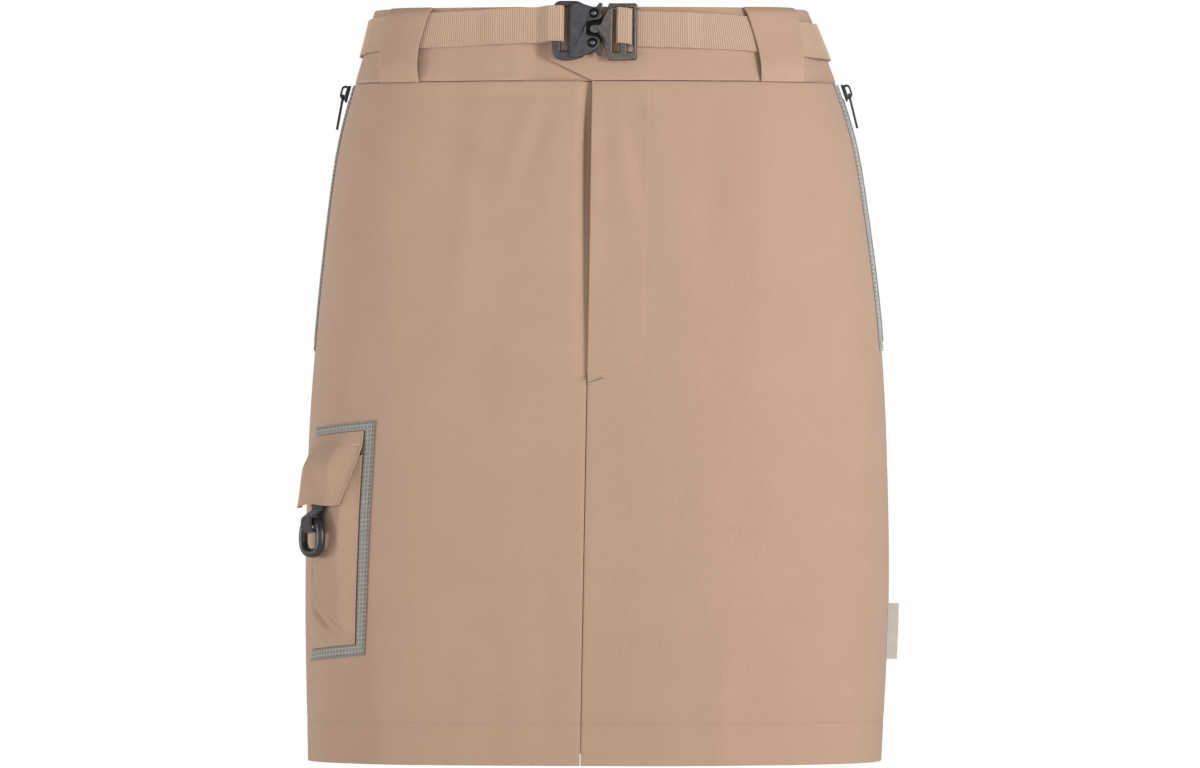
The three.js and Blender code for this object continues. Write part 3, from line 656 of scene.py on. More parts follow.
def woven(name, columns, rows, place, lay, keep=None):
    """A sheet of cloth: a grid whose points go to place(column, row), and flat to lay(column, row)."""
    grid = bmesh.new()
    wide, tall = len(columns) - 1, len(rows) - 1
    bmesh.ops.create_grid(grid, x_segments=wide, y_segments=tall, size=1)
    if keep:
        def cell(face):
            middle = face.calc_center_median()
            return int((middle.x + 1) / 2 * wide), int((middle.y + 1) / 2 * tall)

        spare = [face for face in grid.faces if not keep(*cell(face))]
        bmesh.ops.delete(grid, geom=spare, context="FACES")
    mesh = new_mesh(name, grid)
    flat = np.empty(3 * len(mesh.vertices))
    mesh.vertices.foreach_get("co", flat)
    a = np.asarray(columns, float)[np.rint((flat[0::3] + 1) / 2 * wide).astype(int)]
    b = np.asarray(rows, float)[np.rint((flat[1::3] + 1) / 2 * tall).astype(int)]
    mesh.vertices.foreach_set("co", (place(a, b) * MM).ravel())
    corners = np.empty(len(mesh.loops), int)
    mesh.loops.foreach_get("vertex_index", corners)
    laid = np.stack(lay(a, b), -1)
    mesh.uv_layers.new(name="Lay").uv.foreach_set("vector", laid[corners].ravel())
    mesh.shade_smooth()
    return bpy.data.objects.new(name, mesh)


def add_piece(obj, finish, nodes=(), body_name="skirt"):
    """Puts a piece in the scene, in its finish, on its body and over the solids it stands for."""
    if obj.name not in bpy.context.scene.collection.objects:
        bpy.context.scene.collection.objects.link(obj)
    obj.data.materials.clear()
    obj.data.materials.append(finish)
    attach(obj, body_name)
    if nodes:
        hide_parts(*nodes)
    return obj


def give_wall(obj, thick, edge, thin=None):
    """Turns a sheet into a wall that grows inwards, with a soft edge. Thin is the part of the
    thickness that points outside the group named thick keep."""
    wall = obj.modifiers.new("wall", "SOLIDIFY")
    wall.thickness = thick * MM
    wall.offset = -1
    wall.use_even_offset = True
    if thin:
        wall.vertex_group = "thick"
        wall.thickness_vertex_group = thin
    rim = obj.modifiers.new("soft_edge", "BEVEL")
    rim.width = edge * MM
    rim.segments = 3
    rim.limit_method = "ANGLE"
    rim.angle_limit = radians(55)


def declare_cloth(obj):
    """Works out the flat area that a sheet's lay gives, which nothing uses further."""
    mesh = obj.data
    laid = np.empty(2 * len(mesh.loops))
    mesh.uv_layers["Lay"].uv.foreach_get("vector", laid)
    laid = laid.reshape(-1, 2) * MM
    starts = np.empty(len(mesh.polygons), int)
    mesh.polygons.foreach_get("loop_start", starts)
    corners = [laid[starts + k] for k in range(4)]
    one, two = corners[2] - corners[0], corners[3] - corners[1]
    area = float(np.abs(one[:, 0] * two[:, 1] - one[:, 1] * two[:, 0]).sum() / 2)


def add_cloth(obj, wall, finish, node):
    """Makes a sheet a walled piece of cloth that stands for one node. Wall is what give_wall is told."""
    give_wall(obj, *wall)
    add_piece(obj, finish, [node])
    declare_cloth(obj)


def panel(name, columns, rows, angle_of, out_of, keep=None):
    """Cloth on the body, laid flat by how far round and how high it is."""
    def place(a, b):
        return cloth(angle_of(a, b), b, out_of(a, b))

    return woven(name, columns, rows, place, lambda a, b: (arc_at_angle(b, angle_of(a, b)), b), keep)


def thicken_hem(obj):
    """Groups the points of the turned-up hem, where the wall is double."""
    group = obj.vertex_groups.new(name="thick")
    heights = np.empty(3 * len(obj.data.vertices))
    obj.data.vertices.foreach_get("co", heights)
    low = np.flatnonzero(heights[2::3] / MM < HEM + HEM_DEPTH + 0.4)
    group.add(low.tolist(), 1.0, "REPLACE")


def add_panel(obj, node, edge):
    """Adds one of the skirt's panels, with its turned-up hem."""
    thicken_hem(obj)
    add_cloth(obj, (HEM_WALL, edge, WALL / HEM_WALL), TWILL, node)


def seam_dip(distance, depth=0.5, reach=2.2):
    """How far a seam draws the cloth in, by the distance from it."""
    return -depth * np.exp(-((distance / reach) ** 2))


def side_dips(u, width, *dip):
    """The dips of the seams at both sides of a piece of about this width."""
    return seam_dip(u * width, *dip) + seam_dip((1 - u) * width, *dip)


# How deep and how wide each kind of seam dips.
BAND_SEAM = (0.35, 1.6)
MIDDLE_SEAM = (0.55, 1.7)
TOP_EDGE = (0.3, 2)
LOOP_EDGE = (0.3, 1.6)
DART_SEAM = (1.2, 2.4)
# About how wide the pieces are, to turn a part of the width into millimetres.
FRONT_WIDTH = 190
BACK_WIDTH = 400
BAND_WIDTH = 165
LOOP_WIDTH = 32

ROWS = spaced(2.8, HEM, HEM + HEM_DEPTH - 1.6, HEM + HEM_DEPTH + 0.6, FLY_END, FLY_END + 6, WAIST_SEAM - 3)
ROWS = np.concatenate([ROWS, [WAIST_SEAM - 1.6, WAIST_SEAM - GAP / 2]])


def level_dip(z):
    """The row of stitches that holds the hem, and the seam under the waistband."""
    return seam_dip(z - HEM_ROW, 0.28, 2) + seam_dip(z - WAIST_SEAM, *BAND_SEAM)


def middle_seam(u, z):
    """The seam of the front's middle, which is sewn below the fly only."""
    return np.where(z < FLY_END + 1, seam_dip(u * FRONT_WIDTH, *MIDDLE_SEAM), 0)


def make_front_right():
    """Its columns run from the side to the fly at 1, and on to 2 under the other front."""
    columns = np.concatenate([[0, 0.004, 0.009], spaced(0.0115, 0.018, 0.92), spaced(0.005, 0.925, 1)])
    main = len(columns) - 1
    columns = np.concatenate([columns, spaced(0.09, 1.03, 2)])

    def angle_of(u, z):
        opened = opening_angle(z, -GAP / 2)
        under = angle_at_x(z, opening["x"](z) - GAP / 2 + (np.maximum(u, 1) - 1) * UNDERLAP)
        return np.where(u <= 1, lerp(side_edge(-1, z), opened, u), under)

    def out_of(u, z):
        open_part = np.where(z < FLY_END + 1, 0, opening["fall"](z))
        fall = open_part * np.clip((u - 0.925) / 0.055, 0, 1) ** 1.5
        return level_dip(z) + seam_dip(u * FRONT_WIDTH) + middle_seam(1 - u, z) - fall

    def keep(i, j):
        return i < main or ROWS[j] > FLY_END + 5

    front = panel("right_front_cloth", columns, ROWS, angle_of, out_of, keep)
    add_panel(front, "front_panel_right", 0.5)


def make_front_left():
    columns = np.concatenate([spaced(0.0055, 0, 0.08), spaced(0.0115, 0.09, 0.982), [0.991, 0.996, 1]])

    def angle_of(u, z):
        return lerp(opening_angle(z, GAP / 2), side_edge(1, z), u)

    def out_of(u, z):
        lift = opening["lift"](z) * (1 - smoothstep(u, 0, 0.08))
        return level_dip(z) + seam_dip((1 - u) * FRONT_WIDTH) + middle_seam(u, z) + lift

    front = panel("left_front_cloth", columns, ROWS, angle_of, out_of)
    add_panel(front, "front_panel_left", 0.6)


DART = {"arc": 82, "foot": -128, "lean": 0.16}


def make_back():
    """One panel with two darts, where its columns lie closer."""
    columns = np.concatenate([
        [0, 0.003, 0.007], spaced(0.0062, 0.012, 0.282), spaced(0.0028, 0.286, 0.348),
        spaced(0.0062, 0.354, 0.497),
    ])
    columns = np.concatenate([columns, [0.5], 1 - columns[::-1]])

    def out_of(u, z):
        dip = level_dip(z) + side_dips(u, BACK_WIDTH)
        sewn = 1 - smoothstep(-z, -DART["foot"] - 26, -DART["foot"] + 4)
        for sign in (1, -1):
            line = sign * DART["arc"] * (1 - DART["lean"] * (WAIST_SEAM - z) / 100)
            dip = dip + sewn * seam_dip((u - 0.5) * BACK_WIDTH - line, *DART_SEAM)
        return dip

    add_panel(panel("back_cloth", columns, ROWS, round_back, out_of), "back_panel", 0.5)


def band_roll(z):
    """The waistband is a little fuller in its middle and drawn in at its seam."""
    return seam_dip(z - WAIST_SEAM, *BAND_SEAM) + seam_dip(z - WAIST_TOP, *TOP_EDGE)


BAND_ROWS = np.concatenate([
    [WAIST_SEAM + GAP / 2, WAIST_SEAM + 1.6], spaced(2.2, WAIST_SEAM + 3, WAIST_TOP - 2),
    [WAIST_TOP - 0.8, WAIST_TOP],
])


def make_waistbands():
    def right_angle(u, z):
        return lerp(side_edge(-1, z), by_level(lambda levels: angle_at_x(levels, BAND_UNDERLAP), z), u)

    def right_out(u, z):
        return band_roll(z) + seam_dip(u * BAND_WIDTH) - BAND_FALL * smoothstep(u, 0.61, 0.7)

    right = panel("right_waistband_cloth", spaced(0.014, 0, 1), BAND_ROWS, right_angle, right_out)
    finish_band(right, "waistband_front_right")

    foot = WAIST_SEAM + GAP / 2
    corner = float(opening["x"](0))
    near_side = 140

    def level_of(x, v):
        rise = TAB_RISE * np.maximum(0, (corner - x) / (corner - TAB_END))
        return lerp(foot + rise, WAIST_TOP, v)

    def left_angle(x, v):
        z = level_of(x, v)
        return np.where(x > near_side, side_edge(1, z), angle_at_x(z, np.minimum(x, near_side)))

    def left_place(x, v):
        z = level_of(x, v)
        lift = 0.4 * (1 - smoothstep(x, 10, 42)) + seam_dip(v * 48, 0.45, 2)
        return cloth(left_angle(x, v), z, lift + seam_dip(z - WAIST_TOP, *TOP_EDGE))

    def left_lay(x, v):
        z = level_of(x, v)
        return arc_at_angle(z, left_angle(x, v)), z

    columns = np.concatenate([spaced(2.4, TAB_END, corner, near_side), [200]])
    heights = np.concatenate([[0, 0.03], spaced(0.045, 0.06, 0.96), [0.985, 1]])
    left = woven("left_waistband_cloth", columns, heights, left_place, left_lay)
    finish_band(left, "waistband_front_left")

    def back_out(u, z):
        return band_roll(z) + 0 * u

    back = panel("back_waistband_cloth", spaced(0.0075, 0, 1), BAND_ROWS, round_back, back_out)
    finish_band(back, "waistband_back")


def finish_band(band, node):
    add_cloth(band, (BAND_WALL, 0.7), BAND_TWILL, node)


def make_belt_loops():
    def back_middle(z):
        return between_levels(GIRTHS, z, np.full(z.shape, BACK_LOOP_ANGLE * 2.0))

    def front_edge(column):
        return lambda z: angle_at_x(z, loop_edge[column](z))

    def back_edge(sign, aside):
        return lambda z: angle_at_arc(z, sign * back_middle(z) + aside)

    half = BACK_LOOP_WIDTH / 2
    sides = {
        "front_right": (front_edge("right_far"), front_edge("right_near")),
        "front_left": (front_edge("left_near"), front_edge("left_far")),
        "back_left": (back_edge(1, -half), back_edge(1, half)),
        "back_right": (back_edge(-1, -half), back_edge(-1, half)),
    }
    rows = spaced(1.6, LOOP_BOTTOM, -16, WAIST_TOP)
    for side, (start, end) in sides.items():
        def angle_of(u, z):
            return lerp(by_level(start, z), by_level(end, z), u)

        def out_of(u, z):
            edge = side_dips(u, LOOP_WIDTH, *LOOP_EDGE)
            return loop_lift(z) + TRIM_WALL + edge + 0.5 * np.sin(pi * u) * smoothstep(z, -25, -12)

        loop = panel(f"belt_loop_cloth_{side}", spaced(0.05, 0, 1), rows, angle_of, out_of)
        add_cloth(loop, (TRIM_WALL, 0.55), BAND_TWILL, f"belt_loop_{side}")


def rounded_path(rows, reach, bend):
    """A path with round corners. Each row is a place along it, its distance out and the corner's radius."""
    def point(row):
        return Vector((row[0], row[1]))

    path = []

    def straight(start, end):
        count = max(1, ceil((end - start).length / reach))
        path.extend(start.lerp(end, i / count) for i in range(count + 1))

    start = point(rows[0])
    for k in range(1, len(rows) - 1):
        corner = point(rows[k])
        before = (point(rows[k - 1]) - corner).normalized()
        after = (point(rows[k + 1]) - corner).normalized()
        turn = pi - acos(max(-1, min(1, before.dot(after))))
        cut = rows[k][2] * tan(turn / 2)
        first = corner + before * cut
        middle = corner + (before + after).normalized() * (rows[k][2] / cos(turn / 2))
        straight(start, first)
        spin = 1 if before.x * after.y - before.y * after.x >= 0 else -1
        count = max(1, round(turn / bend))
        for i in range(1, count):
            step = Matrix.Rotation(-spin * turn * i / count, 2)
            path.append(middle + step @ (first - middle))
        start = corner + after * cut
    straight(start, point(rows[-1]))
    points = np.array([tuple(place) for place in path])
    apart = np.linalg.norm(np.diff(points, axis=0), axis=1) > 0.02
    return points[np.concatenate([[True], apart])]


def evenly(points, step):
    """The same path with its points a step apart, with the way out of it and the length to each."""
    lengths = lengths_to(points)
    at = np.linspace(0, lengths[-1], ceil(lengths[-1] / step) + 1)
    path = np.stack([np.interp(at, lengths, points[:, side]) for side in (0, 1)], -1)
    along = unit(np.gradient(path, axis=0))
    return path, np.stack([-along[:, 1], along[:, 0]], -1), at


def make_belt():
    """The strap runs from its end on the socket's bar, round the back, to its end on the tongue's bar."""
    around = float(girth(BELT_LEVEL)[-1])

    def arc(x):
        return x - float(section["shift"](BELT_LEVEL))

    face = PLATE["base"] - BAR_REACH + BAND_SAG
    back = PLATE["top"] + BAR_REACH + BAND_SAG
    socket = arc(SOCKET_BAR[1] + BAR_REACH)
    tongue = arc(TONGUE_BAR[0] - BAR_REACH) - around
    points = rounded_path(
        [
            (arc(-60), BELT_LOW, 0), (arc(-34), BELT_LOW, 8), (arc(-26), face, 5),
            (socket, face, BAR_REACH), (socket, back, BAR_REACH), (arc(-26.2), back, 1.5),
            (arc(-33.5), BELT_HIGH, 4), (arc(-64), BELT_HIGH, 6), (arc(-74), BELT_LOW, 6),
            (arc(74) - around, BELT_LOW, 6), (arc(64) - around, BELT_HIGH, 6),
            (arc(27.2) - around, BELT_HIGH, 1.6), (arc(26.4) - around, back, 1.4),
            (tongue, back, BAR_REACH), (tongue, face, BAR_REACH), (arc(22.5) - around, face, 2),
            (arc(26.5) - around, BELT_LOW, 3), (arc(60) - around, BELT_LOW, 0),
        ],
        3,
        0.12,
    )
    path, out, length = evenly(points, RIB_PITCH / 4)

    def spot(a, b, d):
        angle = angle_at_arc(BELT_LEVEL, a)
        turn = np.degrees(angle)
        z = belt_run(np.where(turn < -180, turn + 360, turn)) + b * BELT_HEIGHT
        middle = body(angle, BELT_LEVEL)
        near = np.clip(middle[..., 0], -120, 120)
        level = angle_at_x(z, near) + np.where(a < -around / 2, -2 * pi, 0)
        blend = smoothstep(np.abs(middle[..., 0]), 50, 110)
        front = (middle[..., 1] < 0) & (np.abs(middle[..., 0]) <= 110)
        return cloth(np.where(front, lerp(level, angle, blend), angle), z, d)

    def place(i, b):
        i = i.astype(int)
        rib = 0.13 * np.sin(length[i] * 2 * pi / RIB_PITCH) + 0.1 * (np.abs(b) > 0.44)
        point = path[i] - out[i] * (BELT_THICK / 2 + rib)[:, None]
        return spot(point[:, 0], b, point[:, 1])

    def lay(i, b):
        return length[i.astype(int)], b * BELT_HEIGHT

    across = np.array([0.5, 0.47, 0.44, 0.25, 0, -0.25, -0.44, -0.47, -0.5])
    belt = woven("belt_webbing_strap", np.arange(len(path)), across, place, lay)
    add_cloth(belt, (BELT_THICK, 0.3), WEBBING, "belt_strap")
    print("belt length", round(float(length[-1])), "mm")


def frame_matrix(axes, spot):
    """A place in metres, by its three directions and its point in millimetres."""
    place = Matrix([Vector(axis) for axis in axes]).transposed().to_4x4()
    place.translation = Vector(spot) * MM
    return place


def place_matrix(angle, z, out=0.0):
    """The cloth's own frame at a point, in metres."""
    angle, z = np.array([float(angle)]), np.array([float(z)])
    return frame_matrix([axis[0] for axis in cloth_axes(angle, z)], cloth(angle, z, out)[0])


def round_corners(points, radius, steps=4):
    """An outline with its corners rounded, each by no more than its edges allow."""
    corners = [Vector(point) for point in points]
    outline = []
    for k, corner in enumerate(corners):
        before = corners[k - 1] - corner
        after = corners[(k + 1) % len(corners)] - corner
        cut = min(radius, before.length * 0.45, after.length * 0.45)
        start = corner + before.normalized() * cut
        end = corner + after.normalized() * cut
        for i in range(steps + 1):
            t = i / steps
            outline.append(start * (1 - t) ** 2 + corner * (2 * t * (1 - t)) + end * t**2)
    return outline


def flat_plate(name, outline, holes, low, high, edge):
    """A plate cut from a flat outline, from low to high, with its edges rounded."""
    drawn = bpy.data.curves.new(name, "CURVE")
    drawn.dimensions = "2D"
    drawn.fill_mode = "BOTH"
    for points in (outline, *holes):
        spline = drawn.splines.new("POLY")
        spline.points.add(len(points) - 1)
        for spot, point in zip(spline.points, points):
            spot.co = (point[0] * MM, point[1] * MM, 0, 1)
        spline.use_cyclic_u = True
    drawn.extrude = (high - low) / 2 * MM
    plate = as_mesh(name, drawn)
    shape = bmesh.new()
    shape.from_mesh(plate)
    rim = [side for side in shape.edges if sum(abs(face.normal.z) > 0.5 for face in side.link_faces) == 1]
    bmesh.ops.bevel(
        shape, geom=rim, offset=edge * MM, segments=4, profile=0.5, affect="EDGES", material=-1,
        clamp_overlap=False,
    )
    shape.to_mesh(plate)
    shape.free()
    smoothed(plate)
    for face in plate.polygons:
        face.use_smooth = abs(face.normal.z) < 0.99
    plate.transform(Matrix.Translation((0, 0, (low + high) / 2 * MM)))
    return plate


def smoothed(mesh, angle=40):
    """Shades a mesh smooth, apart from its edges past an angle."""
    mesh.shade_smooth()
    mesh.set_sharp_from_angle(angle=radians(angle))
    return mesh


def as_mesh(name, drawn):
    """A curve turned into a mesh, closed and facing outwards."""
    holder = bpy.data.objects.new(name, drawn)
    bpy.context.scene.collection.objects.link(holder)
    shaped = holder.evaluated_get(bpy.context.evaluated_depsgraph_get())
    mesh = bpy.data.meshes.new_from_object(shaped)
    bpy.data.objects.remove(holder)
    mesh.name = name
    close_up(mesh)
    return mesh


def close_up(mesh, smooth=40):
    """Merges a mesh's double points, turns its faces outwards and smooths its round edges."""
    shape = bmesh.new()
    shape.from_mesh(mesh)
    bmesh.ops.remove_doubles(shape, verts=shape.verts, dist=0.00001)
    bmesh.ops.recalc_face_normals(shape, faces=shape.faces)
    shape.to_mesh(mesh)
    shape.free()
    smoothed(mesh, smooth)


def joined(name, meshes):
    """Several meshes as one."""
    shape = bmesh.new()
    for mesh in meshes:
        shape.from_mesh(mesh)
    return smoothed(new_mesh(name, shape))


def add_mesh(name, mesh, matrix, finish, nodes=(), body_name="skirt"):
    mesh.transform(matrix)
    return add_piece(bpy.data.objects.new(name, mesh), finish, nodes, body_name)


# The buckle's plates, seen square from the front.
SOCKET_BASE = [
    (-24.6, 16.6), (-21.2, 20.3), (-8.1, 20.3), (-3.5, 17.9), (-2, 15.6), (-2, -14.6), (-4.1, -17.6),
    (-14, -20.1), (-22.6, -18), (-24.6, -14),
]
SOCKET_SLOT = [(-19, 16.4), (-14.4, 16.4), (-14.4, -13.2), (-19, -13.2)]
COVER = [
    (-13, 17.6), (-8.1, 19.4), (-3.5, 17.6), (2.5, 15.6), (7.4, 13), (8.6, 9.8), (6.6, 7.2), (0.2, 6.4),
    (-2, 5), (-2, -2.2), (0, -3.2), (5.6, -4), (7.4, -6.8), (6.2, -10.8), (0, -15.6), (-4.1, -17.4),
    (-13, -18.6),
]
UNDER_PLATE = [
    (-9, 17.4), (-3.5, 17), (7, 12.8), (8.2, 9.8), (8.4, -3), (7.2, -7), (6, -10.8), (0, -15.2),
    (-9, -16.6),
]
PAWL = [(-1.4, 7.2), (6, 8), (7.4, 12), (8.6, 18.4), (6.6, 19.2), (4.4, 16.2), (-1.4, 14)]
TONGUE = [
    (12.6, 18.6), (30.4, 18.6), (31.4, 17.6), (31.4, -18.6), (30.4, -19.6), (12.6, -19.6), (12.2, -17.6),
    (7.9, -5), (7.4, -1.5), (2, -1.5), (0.2, -0.6), (-0.5, 1.5), (0.2, 3.7), (2, 4.6), (7.4, 4.6),
    (7.9, 7.6), (12.2, 16.6),
]
TONGUE_SLOTS = [
    [(15.4, 15.6), (19.8, 15.6), (19.8, -14), (15.4, -14)],
    [(24.8, 15.6), (28.7, 15.6), (28.7, -14), (24.8, -14)],
]
RIVETS = table("side x u", ("upper", 3, 11.3), ("lower", 2.2, -8.4))
# Painted shade: a flat dark ring round each rivet head stands for the shade of a recess there.
SHADE_RING_PROFILE = [(0, 0), (3.1, 0), (3.3, 0.15), (3.3, 0.5), (3.1, 0.7), (2.8, 0.7), (2.6, 0.4), (0, 0.4)]
RIVET_PROFILE = [(0, 0.5), (2.05, 0.5), (2.1, 0.75), (1.9, 1.35), (1.4, 1.8), (0.75, 2.05), (0, 2.12)]


def make_buckle():
    place = place_matrix(angle_at_x(np.array([BUCKLE_LEVEL]), np.array([0.0]))[0], BUCKLE_LEVEL)
    base, top, cover = PLATE["base"], PLATE["top"], PLATE["cover"]

    def plate(name, outline, holes, levels, edge, finish, nodes, radius):
        cut = [round_corners(hole, 0.8) for hole in holes]
        mesh = flat_plate(name, round_corners(outline, radius), cut, *levels, edge)
        add_mesh(name, mesh, place, finish, nodes)

    low, high = (base, top), (top + GAP, cover)
    under = (base - 1.3, base - GAP)
    plate("socket_frame", SOCKET_BASE, [SOCKET_SLOT], low, 1.1, SOCKET_METAL, ["buckle_socket_base"], 3)
    # Painted shade: the socket's under plate is near-black, so the gap round the tongue's nose shows as
    # shade; the plate itself is part of the socket.
    plate("socket_under_plate", UNDER_PLATE, [], under, 0.2, SHADE_METAL, [], 1.6)
    plate("socket_plate", COVER, [], high, 0.85, SOCKET_METAL, ["buckle_socket_cover"], 2.2)
    plate("tongue_frame", TONGUE, TONGUE_SLOTS, low, 1.1, TONGUE_METAL, ["buckle_tongue"], 2.4)
    plate("upper_pawl", PAWL, [], low, 0.6, SOCKET_METAL, ["buckle_pawl_upper"], 1.2)
    mirrored = [(x - 0.2, 2.2 - u) for x, u in PAWL]
    plate("lower_pawl", mirrored, [], low, 0.6, SOCKET_METAL, ["buckle_pawl_lower"], 1.2)
    for rivet in RIVETS:
        seat = place @ Matrix.Translation((rivet["x"] * MM, rivet["u"] * MM, (cover + GAP) * MM))
        side = rivet["side"]
        # Painted shade: the dark ring under each head.
        shade_ring = turned_part("rivet_shade_ring", SHADE_RING_PROFILE)
        add_mesh(f"rivet_shade_ring_{side}", shade_ring, seat, SHADE_METAL)
        head = turned_part("rivet_head", RIVET_PROFILE)
        add_mesh(f"rivet_head_{side}", head, seat, RIVET_METAL, [f"buckle_rivet_{side}"])


def turned_part(name, profile):
    """A round part, turned from its profile of radii and heights."""
    shape = bmesh.new()
    verts = [shape.verts.new((r * MM, 0, h * MM)) for r, h in profile]
    edges = [shape.edges.new(pair) for pair in zip(verts, verts[1:])]
    bmesh.ops.spin(
        shape, geom=verts + edges, axis=(0, 0, 1), cent=(0, 0, 0), angle=2 * pi, steps=28, use_merge=True
    )
    mesh = new_mesh(name, shape)
    close_up(mesh, 50)
    return mesh


SLIDER_DROP = 7
SLIDER_BODY = [(-6, 2.7), (5.5, 2.7), (5.5, 4.2), (4.5, 4.9), (-4.2, 4.7), (-6, 3.6)]
SLIDER_BRIDGE = [(-5, 4.4), (5, 4.4), (5, 6.6), (3.4, 8.4), (-2.6, 8.4), (-5, 6.6)]
BRIDGE_WINDOW = [(-3.4, 5.1), (3.4, 5.1), (3.4, 6.2), (2.6, 7.2), (-2, 7.2), (-3.4, 6.2)]
PULL_BAR = 6.1
PULL_LEAN = 5
PULL_THICK = 1.4
PULL_EYE = [(-1.7, -0.7), (1.7, -0.7), (1.7, -5.4), (-1.7, -5.4)]
PULL_FOOT = 0.7 - PULL_LENGTH
PULL_OUTLINE = [
    (-2.6, 0.7), (2.6, 0.7), (2.6, -6), (2.1, -8), (2.5, -10), (2.5, PULL_FOOT + 1), (1.6, PULL_FOOT),
    (-1.6, PULL_FOOT), (-2.5, PULL_FOOT + 1), (-2.5, -10), (-2.1, -8), (-2.6, -6),
]
TOOTH_PITCH = 2.0
TOOTH_ASIDE = 0.65
CHAIN_START = 4
CHAIN_END = 6
SIDE_TAPE_FACE = 0.85
TAPE_HALF_COLUMNS = [0.5, 0.47, 0.4, 0.3, 0.2, 0.15, 0.14, 0.12, 0.11, 0.05]
# Turns a part drawn from the side, along X and out in Y, to lie along the zip and out of it.
SIDE_ON = Matrix(((0, 0, 1, 0), (1, 0, 0, 0), (0, 1, 0, 0), (0, 0, 0, 1)))


def one_tooth():
    """A moulded zip tooth: a block with soft edges and a nose, lying across the zip."""
    shape = bmesh.new()
    bmesh.ops.create_cube(shape, size=1)
    bmesh.ops.scale(shape, vec=(2.6 * MM, 1.15 * MM, 1.3 * MM), verts=shape.verts)
    bmesh.ops.bevel(
        shape, geom=shape.edges, offset=0.28 * MM, segments=2, profile=0.5, affect="EDGES", material=-1
    )
    return new_mesh("tooth", shape)


def repeated(name, template, matrices):
    """One mesh of many copies of another."""
    shape = bmesh.new()
    for matrix in matrices:
        copy = template.copy()
        copy.transform(matrix)
        shape.from_mesh(copy)
        bpy.data.meshes.remove(copy)
    mesh = new_mesh(name, shape)
    mesh.shade_smooth()
    return mesh


def make_side_zips():
    """Each side's tape, teeth, slider and pull."""
    tooth = one_tooth()
    columns = np.array(sorted([-t for t in TAPE_HALF_COLUMNS] + TAPE_HALF_COLUMNS + [0]))
    rows = spaced(2.6, SIDE_TAPE_END, WAIST_SEAM - 1)
    window = round_corners(BRIDGE_WINDOW, 0.4)
    eye = round_corners(PULL_EYE, 0.6)
    slider_level = WAIST_SEAM - SLIDER_DROP
    chain_top = slider_level - CHAIN_START
    lean = Matrix.Translation((0, -2 * MM, PULL_BAR * MM)) @ Matrix.Rotation(radians(PULL_LEAN), 4, "X")

    def lay(t, z):
        return t * SIDE_TAPE_WIDTH, z

    for side, sign in (("left", 1), ("right", -1)):
        def place(t, z):
            arc = sign * side_arc(z) + t * SIDE_TAPE_WIDTH
            ridge = 0.3 * (np.abs(np.abs(t) - 0.13) < 0.02)
            return cloth(angle_at_arc(z, arc), z, SIDE_TAPE_FACE + ridge)

        tape = woven(f"side_tape_{side}", columns, rows, place, lay)
        wall = (SIDE_TAPE_FACE - 0.2, 0.2)
        add_cloth(tape, wall, ZIP_TAPE, f"side_zip_tape_{side}")

        matrices = []
        for k in range(int((chain_top - SIDE_TAPE_END - CHAIN_END) / TOOTH_PITCH * 2)):
            z = chain_top - k * TOOTH_PITCH / 2
            aside = TOOTH_ASIDE if k % 2 else -TOOTH_ASIDE
            spot = place_matrix(side_edge(sign, z, 0), z, SIDE_TAPE_FACE + 0.25)
            matrices.append(spot @ Matrix.Translation((aside * MM, 0, 0)))
        name = f"zip_teeth_{side}"
        add_mesh(name, repeated(name, tooth, matrices), Matrix(), GREY_PLASTIC)

        seat = place_matrix(side_edge(sign, slider_level, 0), slider_level)
        shell = flat_plate("slider_body", round_corners(SLIDER_BODY, 0.5), [], -3.7, 3.7, 0.5)
        bridge = flat_plate("slider_bridge", round_corners(SLIDER_BRIDGE, 0.9), [window], -1.2, 1.2, 0.3)
        name = f"zip_slider_{side}"
        slider = joined(name, [shell, bridge])
        slider.transform(SIDE_ON)
        add_mesh(name, slider, seat, PLASTIC, [f"side_zip_slider_{side}"])

        name = f"zip_puller_{side}"
        half = PULL_THICK / 2
        pull = flat_plate(name, round_corners(PULL_OUTLINE, 0.9), [eye], -half, half, 0.35)
        nodes = [f"side_zip_pull_{side}"]
        add_mesh(name, pull, seat @ lean, PLASTIC, nodes, f"zip_pull_{side}")


def pocket_angle(p, q):
    """The direction and level of a point by the pocket's own measures."""
    z = POCKET_TOP - q - POCKET_TILT * p
    return angle_at_arc(z, -pocket_edge(q) - p), z


def pocket(p, q, d):
    """A point by the pocket's own measures: p from its front edge to the rear, q down, d out."""
    angle, z = pocket_angle(p, q)
    return cloth(angle, z, d)


def pocket_out(p, q):
    angle, z = pocket_angle(p, q)
    return cloth_axes(angle, z)[2]


def make_pocket_frame():
    """Tape along the pocket's top, front and bottom."""
    near_edge = [0, 1.1, 2.2, 4, 5.8, 6.6, FRAME_STRIP["front"]]
    columns = np.concatenate([near_edge, spaced(2.4, 10, POCKET_WIDTH)])
    rows = np.concatenate([
        [0, 1.1, 2.2, 3.6, 4.6, FRAME_STRIP["top"]], spaced(3, 8, POCKET_HEIGHT - 9),
        POCKET_HEIGHT - np.array([FRAME_STRIP["bottom"], 5.9, 4, 2.2, 1.1, 0]),
    ])[::-1]
    foot = POCKET_HEIGHT - FRAME_STRIP["bottom"]

    def keep(i, j):
        q = (rows[j] + rows[j + 1]) / 2
        return columns[i] < FRAME_STRIP["front"] - 0.1 or q < FRAME_STRIP["top"] or q > foot

    def place(p, q):
        edge = np.minimum(np.minimum(p, q), np.minimum(POCKET_HEIGHT - q, POCKET_WIDTH - p))
        return pocket(p, q, GAP + TAPE_WALL + 0.25 * smoothstep(edge, 0.6, 2.6))

    tape = woven("pocket_tape_frame", columns, rows, place, lambda p, q: (-p, -q), keep)
    turn_outwards(tape)
    add_cloth(tape, (TAPE_WALL, 0.25), TAPE, "pocket_frame_tape")


